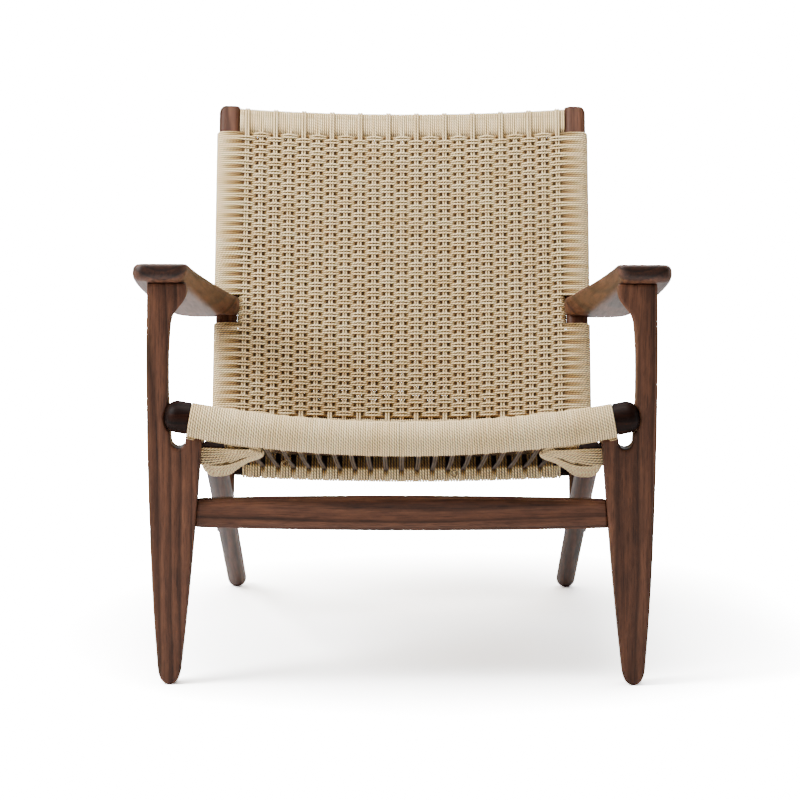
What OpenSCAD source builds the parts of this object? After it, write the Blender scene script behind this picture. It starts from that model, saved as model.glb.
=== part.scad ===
// Low lounge chair: a walnut frame with a woven paper-cord seat and back.
// X points to the right seen from the front, Y to the rear and Z up. The floor is Z = 0.
// Side pieces are drawn for the +X side and mirrored for the other.

/* [Overall] */
// Width over the armrests
chair_w = 710; // [690:5:740]
// Depth from the front edge of the armrests to the rearmost cord of the back
chair_d = 730; // [710:5:760]
// Height to the top of the back posts
chair_h = 730; // [710:5:760]
// Lean of the back from the vertical, in degrees
recline = 25; // [23:1:27]

/* [Cord] */
// Thickness of the twisted paper cord
cord_d = 3.3; // [2.8:0.1:3.6]
// Clearance between a curved face and what lies on it
seat_gap = 0.25; // [0.15:0.05:0.4]

/* [Front legs] */
// Distance from the side of the chair to the middle of a front foot
foot_inset = 45.5; // [42:0.5:49]
// Width of a front foot where its rounded end begins
foot_w = 31.5; // [28:0.5:34]
// Height of the rounded end of a front foot
foot_round = 24; // [20:1:28]
// Distance from the front edge of the armrest to the middle of the leg
leg_setback = 42; // [38:1:48]
// Thickness of the leg, front to back, at the floor
leg_foot_t = 28; // [25:1:31]
// Thickness of the leg, front to back, under the armrest
leg_head_t = 39; // [36:1:42]
// Width of the slender part of the leg above the seat
neck_w = 29; // [26:1:32]
// Width of the head that carries the armrest
head_w = 50.5; // [46:0.5:55]
// Width of the slot between the neck and the ear
slot_w = 19; // [16:1:21]
// Width of the ear that carries the front rail
ear_w = 21.5; // [20:0.5:25]

/* [Armrests] */
// Height of the top of the armrest at its front edge
arm_z = 569; // [559:1:579]
// Thickness of the armrest over the front leg
arm_t = 23.5; // [21:0.5:26]
// Growth of the armrest's thickness towards the rear
arm_growth = 3.7; // [2:0.1:5]
// Fall of the armrest's underside towards the rear, in degrees
arm_fall = 11.55; // [11:0.05:12]
// Width of the armrest at its front edge
arm_w = 74; // [68:1:80]
// Length by which the armrest runs past the front face of the back post
arm_tail = 56; // [48:1:62]

/* [Rails] */
// Diameter of the front seat rail under the cord
front_rail_d = 39.5; // [37:0.5:41]
// Diameter of the bare ends of the front rail
rail_nose_d = 42.5; // [42:0.5:44]
// Rounding of the bare ends of the front rail
rail_nose_r = 16; // [13:0.5:18]
// Height of the axis of the front rail at its ends
rail_end_z = 359; // [353:1:365]
// Sag of the front rail's axis in its middle
rail_dip = 26.8; // [18:0.4:30]
// Distance from the front edge of the armrest to the axis of the front rail
rail_setback = 30; // [28:1:33]
// Depth by which the rail's end is let into the neck of the leg
rail_housing = 4.5; // [3.5:0.5:6]
// Bare length at each end of the front rail
rail_bare = 31; // [29.5:0.5:32.5]
// Diameter of the seat side rails
side_rail_d = 27; // [24:1:28]
// Distance from the side of the chair to the side rails and rear legs
side_inset = 105; // [103:1:107]
// Slope of the seat, in degrees
seat_slope = 14.8; // [14:0.1:15.4]
// Diameter of the rear seat rail
rear_rail_d = 35; // [32:1:36]
// Sag of the rear seat rail's axis in its middle
rear_rail_dip = 7; // [4:1:10]
// Height of the axis of the rear seat rail at its ends
rear_rail_z = 226; // [224:1:228]

/* [Front corners of the seat] */
// Distance from the front leg to the first turn of cord round side rail and rear leg
corner_gap = 24; // [22:1:27]
// Length over which one winding holds side rail and rear leg together
corner_l = 148; // [130:1:156]
// Distance from the side rail to the point where the corner's cords gather
fan_reach = 65; // [58:1:72]
// Distance from the front edge of the armrest to that point
fan_setback = 152; // [146:1:158]

/* [Stretcher] */
// Height of the middle of the front stretcher above the floor
stretcher_z = 231; // [210:1:250]
// Height of the stretcher's section at its ends
stretcher_end_h = 39; // [35:0.5:42]
// Height of the stretcher's section in its middle
stretcher_mid_h = 47; // [43:0.5:51]
// Thickness of the stretcher
stretcher_t = 22; // [19:1:24]

/* [Rear legs] */
// Height of the rear leg's axis where it meets the front leg
rear_leg_z = 312; // [308:1:315]
// Diameter of the rear leg at its front end
rear_leg_d = 31; // [29:0.5:32]
// Diameter of the rear leg at its foot
rear_foot_d = 28; // [25:0.5:29.5]
// Distance from the rearmost point of the back to the rear foot
rear_foot_inset = 40; // [20:1:60]

/* [Back] */
// Width of a back post
post_w = 31; // [29:0.5:33]
// Depth of a back post
post_d = 30; // [28:1:32]
// Distance from the side of the chair to the middle of a back post
post_inset = 97.5; // [95.5:0.5:98.5]
// Rounding of the long edges of a post
post_edge_r = 9; // [6:1:11]
// Bare length at the top of a back post
post_bare = 46; // [43:1:50]
// Distance from the top of the posts to the middle of the top rail
top_rail_drop = 23; // [21:1:26]
// Distance along the posts from the rear seat rail to the bottom rail of the back
bottom_rail_lift = 81; // [76:1:94]
// Height of the back rails' section, along the posts
back_rail_h = 34; // [30:1:36]
// Thickness of the back rails
back_rail_t = 22; // [19:1:24]
// Backward bow of the back rails
back_bow = 22; // [14:1:26]
// Thickness of one woven layer of cord
weave_t = 5.4; // [4.8:0.2:6]

/* [Joints] */
// Clearance of a tenon or dowel in its hole, on the diameter
fit = 0.3; // [0.2:0.05:0.4]
// Diameter of the dowels
dowel_d = 10; // [8:1:11]
// Diameter of the round tenons of the seat rails
seat_tenon_d = 10; // [8:1:11]
// Diameter of the round tenon at the foot of a back post
post_tenon_d = 14; // [12:1:15]
// Depth of a round tenon in its hole
tenon_l = 12; // [10:1:14]

/* [Hidden] */
$fn = 64;

walnut = "#6f4a38";
walnut_light = "#7c5540";
cord_colour = "#d8c8a4";
dowel_colour = "#b98d63";

front_y = -chair_d / 2;
leg_y = front_y + leg_setback;
side_x = chair_w / 2 - side_inset;
post_x = chair_w / 2 - post_inset;

rail_r = front_rail_d / 2;

// Key lines of the front leg, seen from the front
foot_x = chair_w / 2 - foot_inset;
leg_outer_x = foot_x + 27.5;
neck_x = leg_outer_x - neck_w;
head_x = leg_outer_x - 3.5 - head_w;
slot_x = neck_x - 3 - slot_w / 2;
slot_floor_z = rail_end_z - 2 * rail_r;
ear_x = slot_x - slot_w / 2 - ear_w;
leg_taper = (leg_head_t - leg_foot_t) / 2 / arm_z;

// Front seat rail: an arc in a vertical plane that hangs down in its middle
rail_y = front_y + rail_setback;
rail_end_x = neck_x + rail_housing;
rail_arc_x = rail_end_x - rail_bare;
rail_bend_r = bend_radius(rail_arc_x, rail_dip);
rail_half_angle = asin(rail_arc_x / rail_bend_r);
rail_mid_z = rail_end_z - rail_dip;

// Back plane: a line through the middle of the posts, seen from the side
back_half_straight = (back_rail_h - back_rail_t) / 2;
back_top_z = chair_h - post_d / 2 * sin(recline);
back_top_y = chair_d / 2 - back_rail_t / 2 - cord_d - back_half_straight * sin(recline)
    - back_bow * cos(recline) + top_rail_drop * sin(recline);
bottom_rail_drop = (back_top_z - rear_rail_z) / cos(recline) - bottom_rail_lift;
post_inner_x = post_x - post_w / 2;
post_outer_x = post_x + post_w / 2;
back_bend_r = bend_radius(post_inner_x, back_bow);
back_half_angle = asin(post_inner_x / back_bend_r);

// Seat side rail and rear leg, seen from the side
side_start_z = rail_mid_z + rail_bend_r - sqrt(pow(rail_bend_r, 2) - pow(side_x, 2));
rear_leg_start_y = leg_y + leg_half_t(rear_leg_z);
rear_foot_y = chair_d / 2 - rear_foot_inset;
foot_flat = 0.6;
rear_foot_z = rear_foot_d / 2 - foot_flat;
rear_leg_slope = atan((rear_leg_z - rear_foot_z) / (rear_foot_y - rear_leg_start_y));

// Rear seat rail
rear_rail_y = back_y(rear_rail_z);
rear_rail_mid_z = rear_rail_z - rear_rail_dip;
rear_rail_bend_r = bend_radius(post_inner_x, rear_rail_dip);
rear_rail_half_angle = asin(post_inner_x / rear_rail_bend_r);

// Armrest frame: its underside is the plane z = 0 of its own frame
arm_under_z = arm_z - arm_t;
arm_first_v = 0.5;
arm_lead = arm_first_v * cos(arm_fall) + arm_nose(arm_first_v) * 0.75 * sin(arm_fall);
arm_post_v = (back_y(arm_rear_z()) - post_d / 2 / cos(recline) - front_y) / cos(arm_fall);
arm_end_v = arm_post_v + arm_tail;

corner_start_y = rear_leg_start_y + corner_gap;
corner_end_y = corner_start_y + corner_l;
fan_x = side_x - fan_reach;
fan_y = front_y + fan_setback;

// ---------- Formulas ----------

// Radius of an arc with the given half chord and rise
function bend_radius(half, rise) = (half * half + rise * rise) / (2 * rise);

// Half the thickness of the front leg at a height
function leg_half_t(z) = leg_foot_t / 2 + leg_taper * z;

// Where the middle line of the back passes a height
function back_y(z) = back_top_y - (back_top_z - z) * tan(recline);

// Height of the armrest's underside where the back passes it
function arm_rear_z() = (arm_under_z - (back_top_y - back_top_z * tan(recline) - front_y) * tan(arm_fall))
    / (1 + tan(recline) * tan(arm_fall));

// Heights of the side rail's and the rear leg's axes
function side_axis_z(y) = side_start_z - (y - rail_y) * tan(seat_slope);
function rear_leg_axis_z(y) = rear_leg_z - (y - rear_leg_start_y) * tan(rear_leg_slope);

// Points of a cubic Bezier curve, without its last point
function curve(p, n) = [for (i = [0:n - 1]) let (t = i / n, u = 1 - t)
    u * u * u * p[0] + 3 * u * u * t * p[1] + 3 * u * t * t * p[2] + t * t * t * p[3]];

// Points of an arc
function arc(centre, r, from, to, n) = [for (i = [0:n])
    let (a = from + (to - from) * i / n) centre + r * [cos(a), sin(a)]];

// A polygon whose corners are rounded by the given lengths, n points to a corner
function rounded(corners, radii, n) = [for (i = [0:len(corners) - 1])
    let (c = corners[i],
        a = corners[(i + len(corners) - 1) % len(corners)] - c,
        b = corners[(i + 1) % len(corners)] - c,
        p = c + a / norm(a) * radii[i],
        q = c + b / norm(b) * radii[i])
    for (k = [0:n]) let (t = k / n, u = 1 - t) u * u * p + 2 * u * t * c + t * t * q];

function flip(points) = [for (i = [len(points) - 1:-1:0]) points[i]];

function mix(a, b, t) = a + (b - a) * t;

function smooth(t) = let (c = min(1, max(0, t))) c * c * (3 - 2 * c);

// ---------- Shapes used by several pieces ----------

// Solid through a list of rings that all have the same number of points
module loft(rings) {
    n = len(rings[0]);
    last = len(rings) - 1;
    sides = [for (j = [0:last - 1], i = [0:n - 1])
        let (a = j * n + i, b = j * n + (i + 1) % n)
        each [[a, b, a + n], [b, b + n, a + n]]];
    ends = [[for (i = [n - 1:-1:0]) i], [for (i = [0:n - 1]) last * n + i]];
    polyhedron([for (ring = rings) each ring], concat(sides, ends), convexity = 6);
}

// Part of a ring that hangs down in its middle, in the plane Y = 0, from a 2D section
module hanging_arc(bend_r, half_angle) {
    translate([0, 0, bend_r]) rotate([90, 0, 0]) rotate([0, 0, -90 - half_angle])
        rotate_extrude(angle = 2 * half_angle, $fn = 720) translate([bend_r, 0]) children();
}

// Puts its children on both sides of the chair
module both_sides() {
    children();
    mirror([1, 0, 0]) children();
}

module left_hand() {
    mirror([1, 0, 0]) children();
}

// Frame of the back: z runs up along the posts from their tops, y is the way the back faces
module on_back() {
    translate([0, back_top_y, back_top_z]) rotate([-recline, 0, 0]) children();
}

// Frame of the armrest: y runs to the rear along the underside, z is square to it
module on_armrest() {
    translate([0, front_y - arm_lead, arm_under_z]) rotate([-arm_fall, 0, 0]) children();
}

// Frame of the side rail: z runs to the rear along its axis from the front rail's axis
module on_side_rail() {
    translate([side_x, rail_y, side_start_z]) rotate([-90 - seat_slope, 0, 0]) children();
}

// Frame of the rear leg: z runs down to the foot along its axis
module on_rear_leg() {
    translate([side_x, rear_leg_start_y, rear_leg_z]) rotate([-90 - rear_leg_slope, 0, 0]) children();
}

rear_leg_l = (rear_foot_y - rear_leg_start_y) / cos(rear_leg_slope);

// ---------- Front legs ----------

function leg_outline() = let (
        foot_l = foot_x - foot_w / 2,
        foot_r = foot_x + foot_w / 2,
        top_z = arm_z,
        head_z = arm_under_z,
        ear_top_z = rail_end_z - rail_r + 6,
        ear_z = rail_end_z - rail_r - 9)
    concat(
        curve([[foot_x, -foot_flat], [foot_x + foot_w * 0.27, -foot_flat],
            [foot_r - 0.5, foot_round * 0.34], [foot_r, foot_round]], 6),
        curve([[foot_r, foot_round], [leg_outer_x - 1.4, top_z * 0.29], [leg_outer_x + 3.5, top_z * 0.67],
            [leg_outer_x - 3.5, top_z]], 12),
        [[leg_outer_x - 3.5, top_z], [head_x, top_z]],
        curve([[head_x, head_z - 18.5], [head_x + 0.5, head_z - 37.5], [neck_x - 4, head_z - 38.5],
            [neck_x - 2.5, head_z - 67.5]], 8),
        curve([[neck_x - 2.5, head_z - 67.5], [neck_x - 1.5, head_z - 82], [neck_x, head_z - 96],
            [neck_x, head_z - 115]], 4),
        curve([[neck_x, head_z - 115], [neck_x + 0.5, head_z - 145], [neck_x + 0.5, rail_end_z + 15],
            [slot_x + slot_w / 2, rail_end_z - 15]], 5),
        arc([slot_x, slot_floor_z + slot_w / 2], slot_w / 2, 0, -180, 8),
        arc([ear_x + ear_w - 6, ear_top_z - 6], 6, 0, 90, 3),
        arc([ear_x + 6, ear_top_z - 6], 6, 90, 180, 3),
        curve([[ear_x, ear_z], [ear_x + 7, mix(ear_z, foot_round, 1 / 3)],
            [foot_l - 12, mix(ear_z, foot_round, 2 / 3)], [foot_l, foot_round]], 12),
        curve([[foot_l, foot_round], [foot_l + 0.5, foot_round * 0.34],
            [foot_x - foot_w * 0.27, -foot_flat], [foot_x, -foot_flat]], 6));

// The leg's front outline, cut through a board that thins towards the floor
module leg_blank() {
    foot = leg_foot_t / 2;
    head = leg_half_t(chair_h);
    intersection() {
        translate([0, leg_y, 0]) rotate([90, 0, 0])
            linear_extrude(2 * leg_head_t, center = true) polygon(leg_outline());
        translate([ear_x - 10, leg_y, 0]) rotate([90, 0, 90]) linear_extrude(chair_w)
            polygon([[-foot, -10], [foot, -10], [head, chair_h], [-head, chair_h]]);
    }
}

// Radius of the dome that the nose of the front rail fits into
rail_dome_r = 30;

// Room for the end of the front rail: the bare end in the neck, the corded part on the ear
module rail_end_room() {
    on_rail_end() {
        intersection() {
            cylinder(d = rail_nose_d + 2 * seat_gap, h = 2 * rail_bare);
            translate([0, 0, rail_bare / cos(rail_half_angle) + 0.8 - rail_dome_r]) sphere(r = rail_dome_r + seat_gap);
        }
        translate([0, 0, 2 - 60]) cylinder(r = rail_r + cord_d + seat_gap, h = 60);
    }
}

stretcher_tenon_w = 11;
stretcher_tenon_h = 24;
stretcher_tenon_reach = 20;
stretcher_tenon_x = foot_x - 30;

module stretcher_tenon(extra) {
    translate([0, leg_y - stretcher_tenon_w / 2 - extra / 2, stretcher_z - stretcher_tenon_h / 2 - extra / 2])
        cube([stretcher_tenon_x + stretcher_tenon_reach + extra,
            stretcher_tenon_w + extra, stretcher_tenon_h + extra]);
}

ear_dowel_x = ear_x + ear_w / 2;
ear_dowel_y = leg_y - 5;
ear_dowel_l = 40;

module ear_dowel(extra) {
    translate([ear_dowel_x, ear_dowel_y, rail_end_z - ear_dowel_l - 6])
        cylinder(d = dowel_d + extra, h = ear_dowel_l);
}

armrest_dowel_l = 36;
armrest_dowel_reach = 12;
armrest_dowel_spread = 24;

module armrest_front_dowel_pair(extra) {
    on_armrest() for (side = [-0.5, 0.5])
        translate([head_x + head_w / 2 + side * armrest_dowel_spread,
            leg_setback / cos(arm_fall), armrest_dowel_reach - armrest_dowel_l])
            cylinder(d = dowel_d + extra, h = armrest_dowel_l);
}

rear_leg_tenon_l = 16;
rear_leg_tenon_x = ear_x + ear_w / 2;

module rear_leg_tenon(extra) {
    translate([rear_leg_tenon_x, rear_leg_start_y + 6, rear_leg_z - 3]) rotate([90, 0, 0])
        cylinder(d = dowel_d + 2 + extra, h = rear_leg_tenon_l + 6 + extra / 2);
}

module front_leg() {
    color(walnut) difference() {
        leg_blank();
        on_armrest() translate([0, -50, 0]) cube([chair_w, chair_d, 100]);
        translate([0, leg_y - 50, -10]) cube([chair_w, 100, 10]);
        rail_end_room();
        stretcher_tenon(fit);
        ear_dowel(fit);
        armrest_front_dowel_pair(fit);
        rear_leg_tenon(fit);
    }
}

module front_leg_left() { left_hand() front_leg(); }
module front_leg_right() { front_leg(); }

// ---------- Armrests ----------

// Edges of the armrest, seen from above, at a distance v from its front edge
function arm_outer_x(v) = let (widest = 120)
    chair_w / 2 - (v < widest ? 3 * pow(1 - v / widest, 2) : 17 * pow((v - widest) / (arm_post_v - widest), 2));
function arm_inner_x(v) = mix(chair_w / 2 - 3 - arm_w, post_inner_x - 4, pow(min(1, v / arm_post_v), 1.35));
function arm_undercut(v) = mix(8, 24, min(1, v / arm_post_v)) * (1 - smooth((v - arm_post_v + 36) / 30));

// Rounded nose at the front and rounded tail past the post
function arm_nose(v) = v < 14 ? 14 - sqrt(14 * 14 - pow(14 - v, 2)) : 0;
function arm_tail_cut(v) = let (u = max(0, (v - arm_post_v) / arm_tail))
    (arm_outer_x(arm_post_v) - post_outer_x - 4) * (1 - sqrt(1 - u * u));

function arm_section(v) = let (
        e = arm_nose(v),
        x0 = arm_inner_x(v) + e,
        x1 = (v > arm_post_v ? arm_outer_x(arm_post_v) - arm_tail_cut(v) : arm_outer_x(v)) - e,
        tail = smooth((v - arm_end_v + 14) / 16) * 5,
        low = e * 0.75 + tail,
        high = arm_t + arm_growth * v / arm_post_v - e * 0.3 - tail,
        r = (high - low) * 0.42)
    [for (p = rounded([[x0 + arm_undercut(v), low], [x1, low], [x1, high], [x0, high]],
        [r * 0.8, r, r, r * 0.7], 4)) [p.x, v, p.y]];

arm_stations = concat([arm_first_v, 3, 8, 14, 40, 90, 150, 220, 300, 380, 450, 510],
    [for (u = [-28, -14, -4, 0]) arm_post_v + u],
    [for (u = [0.3, 0.55, 0.75, 0.9, 0.98]) arm_post_v + u * arm_tail]);

module armrest_blank() {
    on_armrest() loft([for (v = arm_stations) arm_section(v)]);
}

// Room for the post in the rear of the armrest, open towards the middle and the rear
module post_notch() {
    on_back() translate([post_inner_x - 60, -post_d / 2, -chair_h])
        cube([60 + post_w + 0.05, chair_d, chair_h]);
}

armrest_rear_dowel_l = 26;

module armrest_rear_dowel(extra) {
    y = back_y(arm_rear_z() + 14);
    translate([post_outer_x - armrest_rear_dowel_l / 2, y, arm_rear_z() + 14]) rotate([0, 90, 0])
        cylinder(d = dowel_d + extra, h = armrest_rear_dowel_l);
}

module armrest() {
    color(walnut_light) difference() {
        armrest_blank();
        post_notch();
        armrest_front_dowel_pair(fit);
        armrest_rear_dowel(fit);
    }
}

module armrest_left() { left_hand() armrest(); }
module armrest_right() { armrest(); }

// ---------- Rear legs ----------

module rear_leg_shaft(extra) {
    on_rear_leg() {
        translate([0, 0, -20]) cylinder(d1 = rear_leg_d + extra, d2 = rear_foot_d + extra, h = rear_leg_l + 20);
        translate([0, 0, rear_leg_l]) sphere(d = rear_foot_d + extra);
    }
}

// The front end widens outwards behind the ear of the front leg, as far as the corner's cord
module rear_leg_shoulder() {
    reach = rear_leg_tenon_x - side_x;
    blend_l = 42;
    intersection() {
        on_rear_leg() translate([reach, 0, 0]) rotate([0, -atan(reach / blend_l), 0])
            translate([0, 0, -20]) cylinder(d = rear_leg_d - 5, h = blend_l + 20);
        translate([0, rear_leg_start_y - 60, 0]) cube([chair_w, corner_start_y - 0.5 - rear_leg_start_y + 60, chair_h]);
    }
}

module rear_leg() {
    color(walnut) {
        difference() {
            union() {
                rear_leg_shaft(0);
                rear_leg_shoulder();
            }
            translate([0, rear_leg_start_y - 60 + seat_gap, 0]) cube([chair_w, 60, chair_h]);
            translate([0, rear_foot_y - 50, -10]) cube([chair_w, 100, 10]);
            post_tenon(fit);
        }
        intersection() {
            rear_leg_tenon(0);
            translate([0, rear_leg_start_y + 2 - chair_d, 0]) cube([chair_w, chair_d, chair_h]);
        }
    }
}

module rear_leg_left() { left_hand() rear_leg(); }
module rear_leg_right() { rear_leg(); }

// ---------- Back posts ----------

// The posts end on the axis of the rear legs, seen from the side
post_foot_y = (rear_leg_z + rear_leg_start_y * tan(rear_leg_slope)
    - back_top_z + back_top_y / tan(recline)) / (1 / tan(recline) + tan(rear_leg_slope));
post_l = (back_top_y - post_foot_y) / sin(recline);
post_foot_w = 24;
post_taper_l = 170;
post_top_r = 10;

module post_section(extra) {
    r = post_edge_r + extra;
    w = post_w + 2 * extra;
    d = post_d + 2 * extra;
    square([w - 2 * r, d], center = true);
    square([w, d - 2 * r], center = true);
    for (x = [-1, 1], y = [-1, 1]) translate([x * (w / 2 - r), y * (d / 2 - r)]) circle(r = r);
}

// Front view of the post: rounded at its outer top corner, narrowing to its foot
module post_front_view() {
    difference() {
        polygon([[-post_w / 2, 0], [-post_w / 2, -post_l + post_taper_l], [-post_foot_w / 2 - 3, -post_l],
            [post_foot_w / 2 - 3, -post_l], [post_w / 2, -post_l + post_taper_l], [post_w / 2, 0]]);
        translate([post_w / 2 - post_top_r, -post_top_r]) difference() {
            square(post_top_r + 1);
            circle(r = post_top_r);
        }
    }
}

module post_tenon(extra) {
    reach = rear_leg_d / 2 + tenon_l - 6;
    on_back() translate([post_x - 3, 0, -post_l - 7 - extra / 2])
        cylinder(d = post_tenon_d + extra, h = reach + 7);
}

module seat_post_tenon(extra) {
    on_side_rail() translate([0, 0, side_rail_l - 8])
        cylinder(d = seat_tenon_d + extra, h = tenon_l + 8 + extra / 2);
}

// It lies below and behind the side rail's tenon, inside the post
module rear_rail_tenon(extra) {
    translate([post_inner_x - 8, rear_rail_y + 2, rear_rail_z - 3]) rotate([0, 90, 0])
        cylinder(d = seat_tenon_d + extra, h = tenon_l + 8 + extra / 2);
}

back_tenon_w = 10;
back_tenon_h = 20;

// Flat tenons of the two back rails, in the frame of the back
module back_rail_tenon(drop, extra) {
    on_back() translate([post_inner_x - 8, -back_tenon_w / 2 - extra / 2, -drop - back_tenon_h / 2 - extra / 2])
        cube([tenon_l + 8 + extra / 2, back_tenon_w + extra, back_tenon_h + extra]);
}

module back_post() {
    color(walnut) {
        difference() {
            on_back() translate([post_x, 0, 0]) intersection() {
                translate([0, 0, -post_l]) linear_extrude(post_l) post_section(0);
                rotate([90, 0, 0]) linear_extrude(2 * post_d, center = true) post_front_view();
            }
            rear_leg_shaft(2 * seat_gap);
            seat_post_tenon(fit);
            rear_rail_tenon(fit);
            back_rail_tenon(top_rail_drop, fit);
            back_rail_tenon(bottom_rail_drop, fit);
            armrest_rear_dowel(fit);
        }
        post_tenon(0);
    }
}

module back_post_left() { left_hand() back_post(); }
module back_post_right() { back_post(); }

// ---------- Front stretcher ----------

function stretcher_section(x) = let (
        k = 1 - pow(x / stretcher_tenon_x, 2),
        h = mix(stretcher_end_h, stretcher_mid_h, k),
        t = mix(stretcher_t - 2, stretcher_t + 2, k))
    [for (p = rounded([[t / 2, -h / 2], [t / 2, h / 2], [-t / 2, h / 2], [-t / 2, -h / 2]],
        [for (i = [0:3]) t * 0.42], 4)) [x, leg_y + p.x, stretcher_z + p.y]];

module front_stretcher() {
    color(walnut) {
        difference() {
            loft([for (i = [-6:6]) flip(stretcher_section(i / 6 * (stretcher_tenon_x + 6)))]);
            both_sides() leg_blank();
        }
        both_sides() intersection() {
            stretcher_tenon(0);
            translate([stretcher_tenon_x - 20, front_y, 0]) cube([chair_w, chair_d, chair_h]);
        }
    }
}

// ---------- Seat frame ----------

// The arc runs a little way into the thicker bare ends
module front_rail_arc() {
    translate([0, rail_y, rail_mid_z]) hanging_arc(rail_bend_r, rail_half_angle + 0.2) circle(r = rail_r);
}

side_tenon_start = rail_r - tenon_l;

module side_front_tenon(extra) {
    on_side_rail() translate([0, 0, side_tenon_start - extra / 2])
        cylinder(d = seat_tenon_d + 4 + extra, h = tenon_l + 10);
}

// Frame of the rail's bare end: z runs outwards along the rail from the edge of the cord
module on_rail_end() {
    translate([rail_arc_x, rail_y, rail_end_z]) rotate([0, 90 - rail_half_angle, 0]) children();
}

module rail_nose(extra) {
    r = rail_nose_r + extra;
    w = rail_nose_d / 2 + extra;
    l = rail_bare / cos(rail_half_angle) + extra;
    rotate_extrude() {
        square([w - r, l]);
        square([w, l - r]);
        translate([w - r, l - r]) intersection() {
            circle(r = r);
            square(r);
        }
    }
}

module seat_front_rail() {
    color(walnut) difference() {
        union() {
            front_rail_arc();
            both_sides() on_rail_end() rail_nose(0);
        }
        both_sides() {
            side_front_tenon(fit);
            ear_dowel(fit);
        }
    }
}

module seat_rear_rail() {
    color(walnut) {
        intersection() {
            translate([0, rear_rail_y, rear_rail_mid_z])
                hanging_arc(rear_rail_bend_r, rear_rail_half_angle + 0.4) circle(d = rear_rail_d);
            translate([-post_inner_x, rear_rail_y - 50, 0]) cube([2 * post_inner_x, 100, chair_h]);
        }
        both_sides() rear_rail_tenon(0);
    }
}

// The side rail runs from the front rail to the front face of the post
side_post_y = (back_top_y - (back_top_z - side_start_z - rail_y * tan(seat_slope)) * tan(recline)
    - post_d / 2 / cos(recline)) / (1 + tan(seat_slope) * tan(recline));
side_rail_l = (side_post_y - rail_y) / cos(seat_slope);

module seat_side_rail() {
    color(walnut) {
        difference() {
            on_side_rail() translate([0, 0, rail_r - 8])
                cylinder(d = side_rail_d, h = side_rail_l - rail_r + 20);
            translate([side_x, rail_y, side_start_z])
                rotate([0, -asin(side_x / rail_bend_r) , 0]) rotate([0, 90, 0])
                cylinder(r = rail_r + seat_gap, h = 80, center = true);
            on_back() translate([0, -post_d / 2, -chair_h]) cube([chair_w, chair_d, chair_h]);
            translate([ear_x - seat_gap, rail_y, 0])
                cube([50, leg_y + leg_half_t(side_start_z) + seat_gap - rail_y, chair_h]);
            translate([side_x - side_rail_d, rear_rail_y - rear_rail_d / 2 - 2, 0])
                cube([side_rail_d - side_x + post_inner_x + seat_gap, rear_rail_d, chair_h]);
        }
        side_front_tenon(0);
        seat_post_tenon(0);
    }
}

module seat_side_rail_left() { left_hand() seat_side_rail(); }
module seat_side_rail_right() { seat_side_rail(); }

// ---------- Back rails ----------

module back_rail_profile(extra) {
    r = back_rail_t / 2 + extra;
    square([2 * r, 2 * back_half_straight], center = true);
    for (side = [-1, 1]) translate([0, side * back_half_straight]) circle(r = r);
}

// A back rail's section swept along its bow, in the frame of the back
module back_rail_sweep(drop) {
    translate([0, back_bow - back_bend_r, -drop]) rotate([0, 0, 90 - back_half_angle - 0.4])
        rotate_extrude(angle = 2 * back_half_angle + 0.8, $fn = 720)
        translate([back_bend_r, 0]) children();
}

module between_posts(extra) {
    translate([-post_inner_x + extra, -100, -chair_h]) cube([2 * (post_inner_x - extra), 200, 2 * chair_h]);
}

module back_rail(drop) {
    color(walnut) {
        on_back() intersection() {
            back_rail_sweep(drop) back_rail_profile(0);
            between_posts(0);
        }
        both_sides() back_rail_tenon(drop, 0);
    }
}

module back_top_rail() { back_rail(top_rail_drop); }
module back_bottom_rail() { back_rail(bottom_rail_drop); }

// ---------- Dowels ----------

module rail_dowels() {
    color(dowel_colour) both_sides() ear_dowel(0);
}

module armrest_front_dowels() {
    color(dowel_colour) both_sides() armrest_front_dowel_pair(0);
}

module armrest_rear_dowels() {
    color(dowel_colour) both_sides() armrest_rear_dowel(0);
}

// ---------- Cord wound on the rails and posts ----------

module ring_section(inner_r) {
    difference() {
        circle(r = inner_r + cord_d);
        circle(r = inner_r + seat_gap);
    }
}

module front_rail_cord() {
    color(cord_colour) difference() {
        translate([0, rail_y, rail_mid_z]) hanging_arc(rail_bend_r, rail_half_angle) ring_section(rail_r);
        both_sides() {
            on_side_rail() cylinder(d = side_rail_d + 2 * seat_gap, h = 60);
            ear_dowel(fit);
        }
    }
}

module rear_rail_cord() {
    color(cord_colour) intersection() {
        translate([0, rear_rail_y, rear_rail_mid_z])
            hanging_arc(rear_rail_bend_r, rear_rail_half_angle) ring_section(rear_rail_d / 2);
        translate([1 - seat_edge_x(1), rear_rail_y - 50, 0]) cube([2 * seat_edge_x(1) - 2, 100, chair_h]);
    }
}

// Cord round the side rail alone, from the corner to the post
module side_rail_cord() {
    start = (corner_end_y - rail_y) / cos(seat_slope) - 8;
    color(cord_colour) difference() {
        on_side_rail() translate([0, 0, start]) linear_extrude(side_rail_l - start + 20) ring_section(side_rail_d / 2);
        on_back() translate([0, -post_d / 2 - cord_d, -chair_h]) cube([chair_w, chair_d, chair_h]);
        translate([0, corner_end_y + 0.6 - chair_d, 0]) cube([chair_w, chair_d, chair_h]);
    }
}

module side_rail_cord_left() { left_hand() side_rail_cord(); }
module side_rail_cord_right() { side_rail_cord(); }

// Cord round the side rail and the rear leg together, where the two lie close
module corner_envelope(extra) {
    hull() for (y = [corner_start_y, corner_end_y]) {
        translate([side_x, y, side_axis_z(y)]) rotate([-90, 0, 0])
            cylinder(d = side_rail_d / cos(seat_slope) + 2 * extra, h = 0.01, $fn = 32);
        translate([side_x, y, rear_leg_axis_z(y)]) rotate([-90, 0, 0])
            cylinder(d = rear_leg_d / cos(rear_leg_slope) + 2 * extra, h = 0.01, $fn = 32);
    }
}

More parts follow.
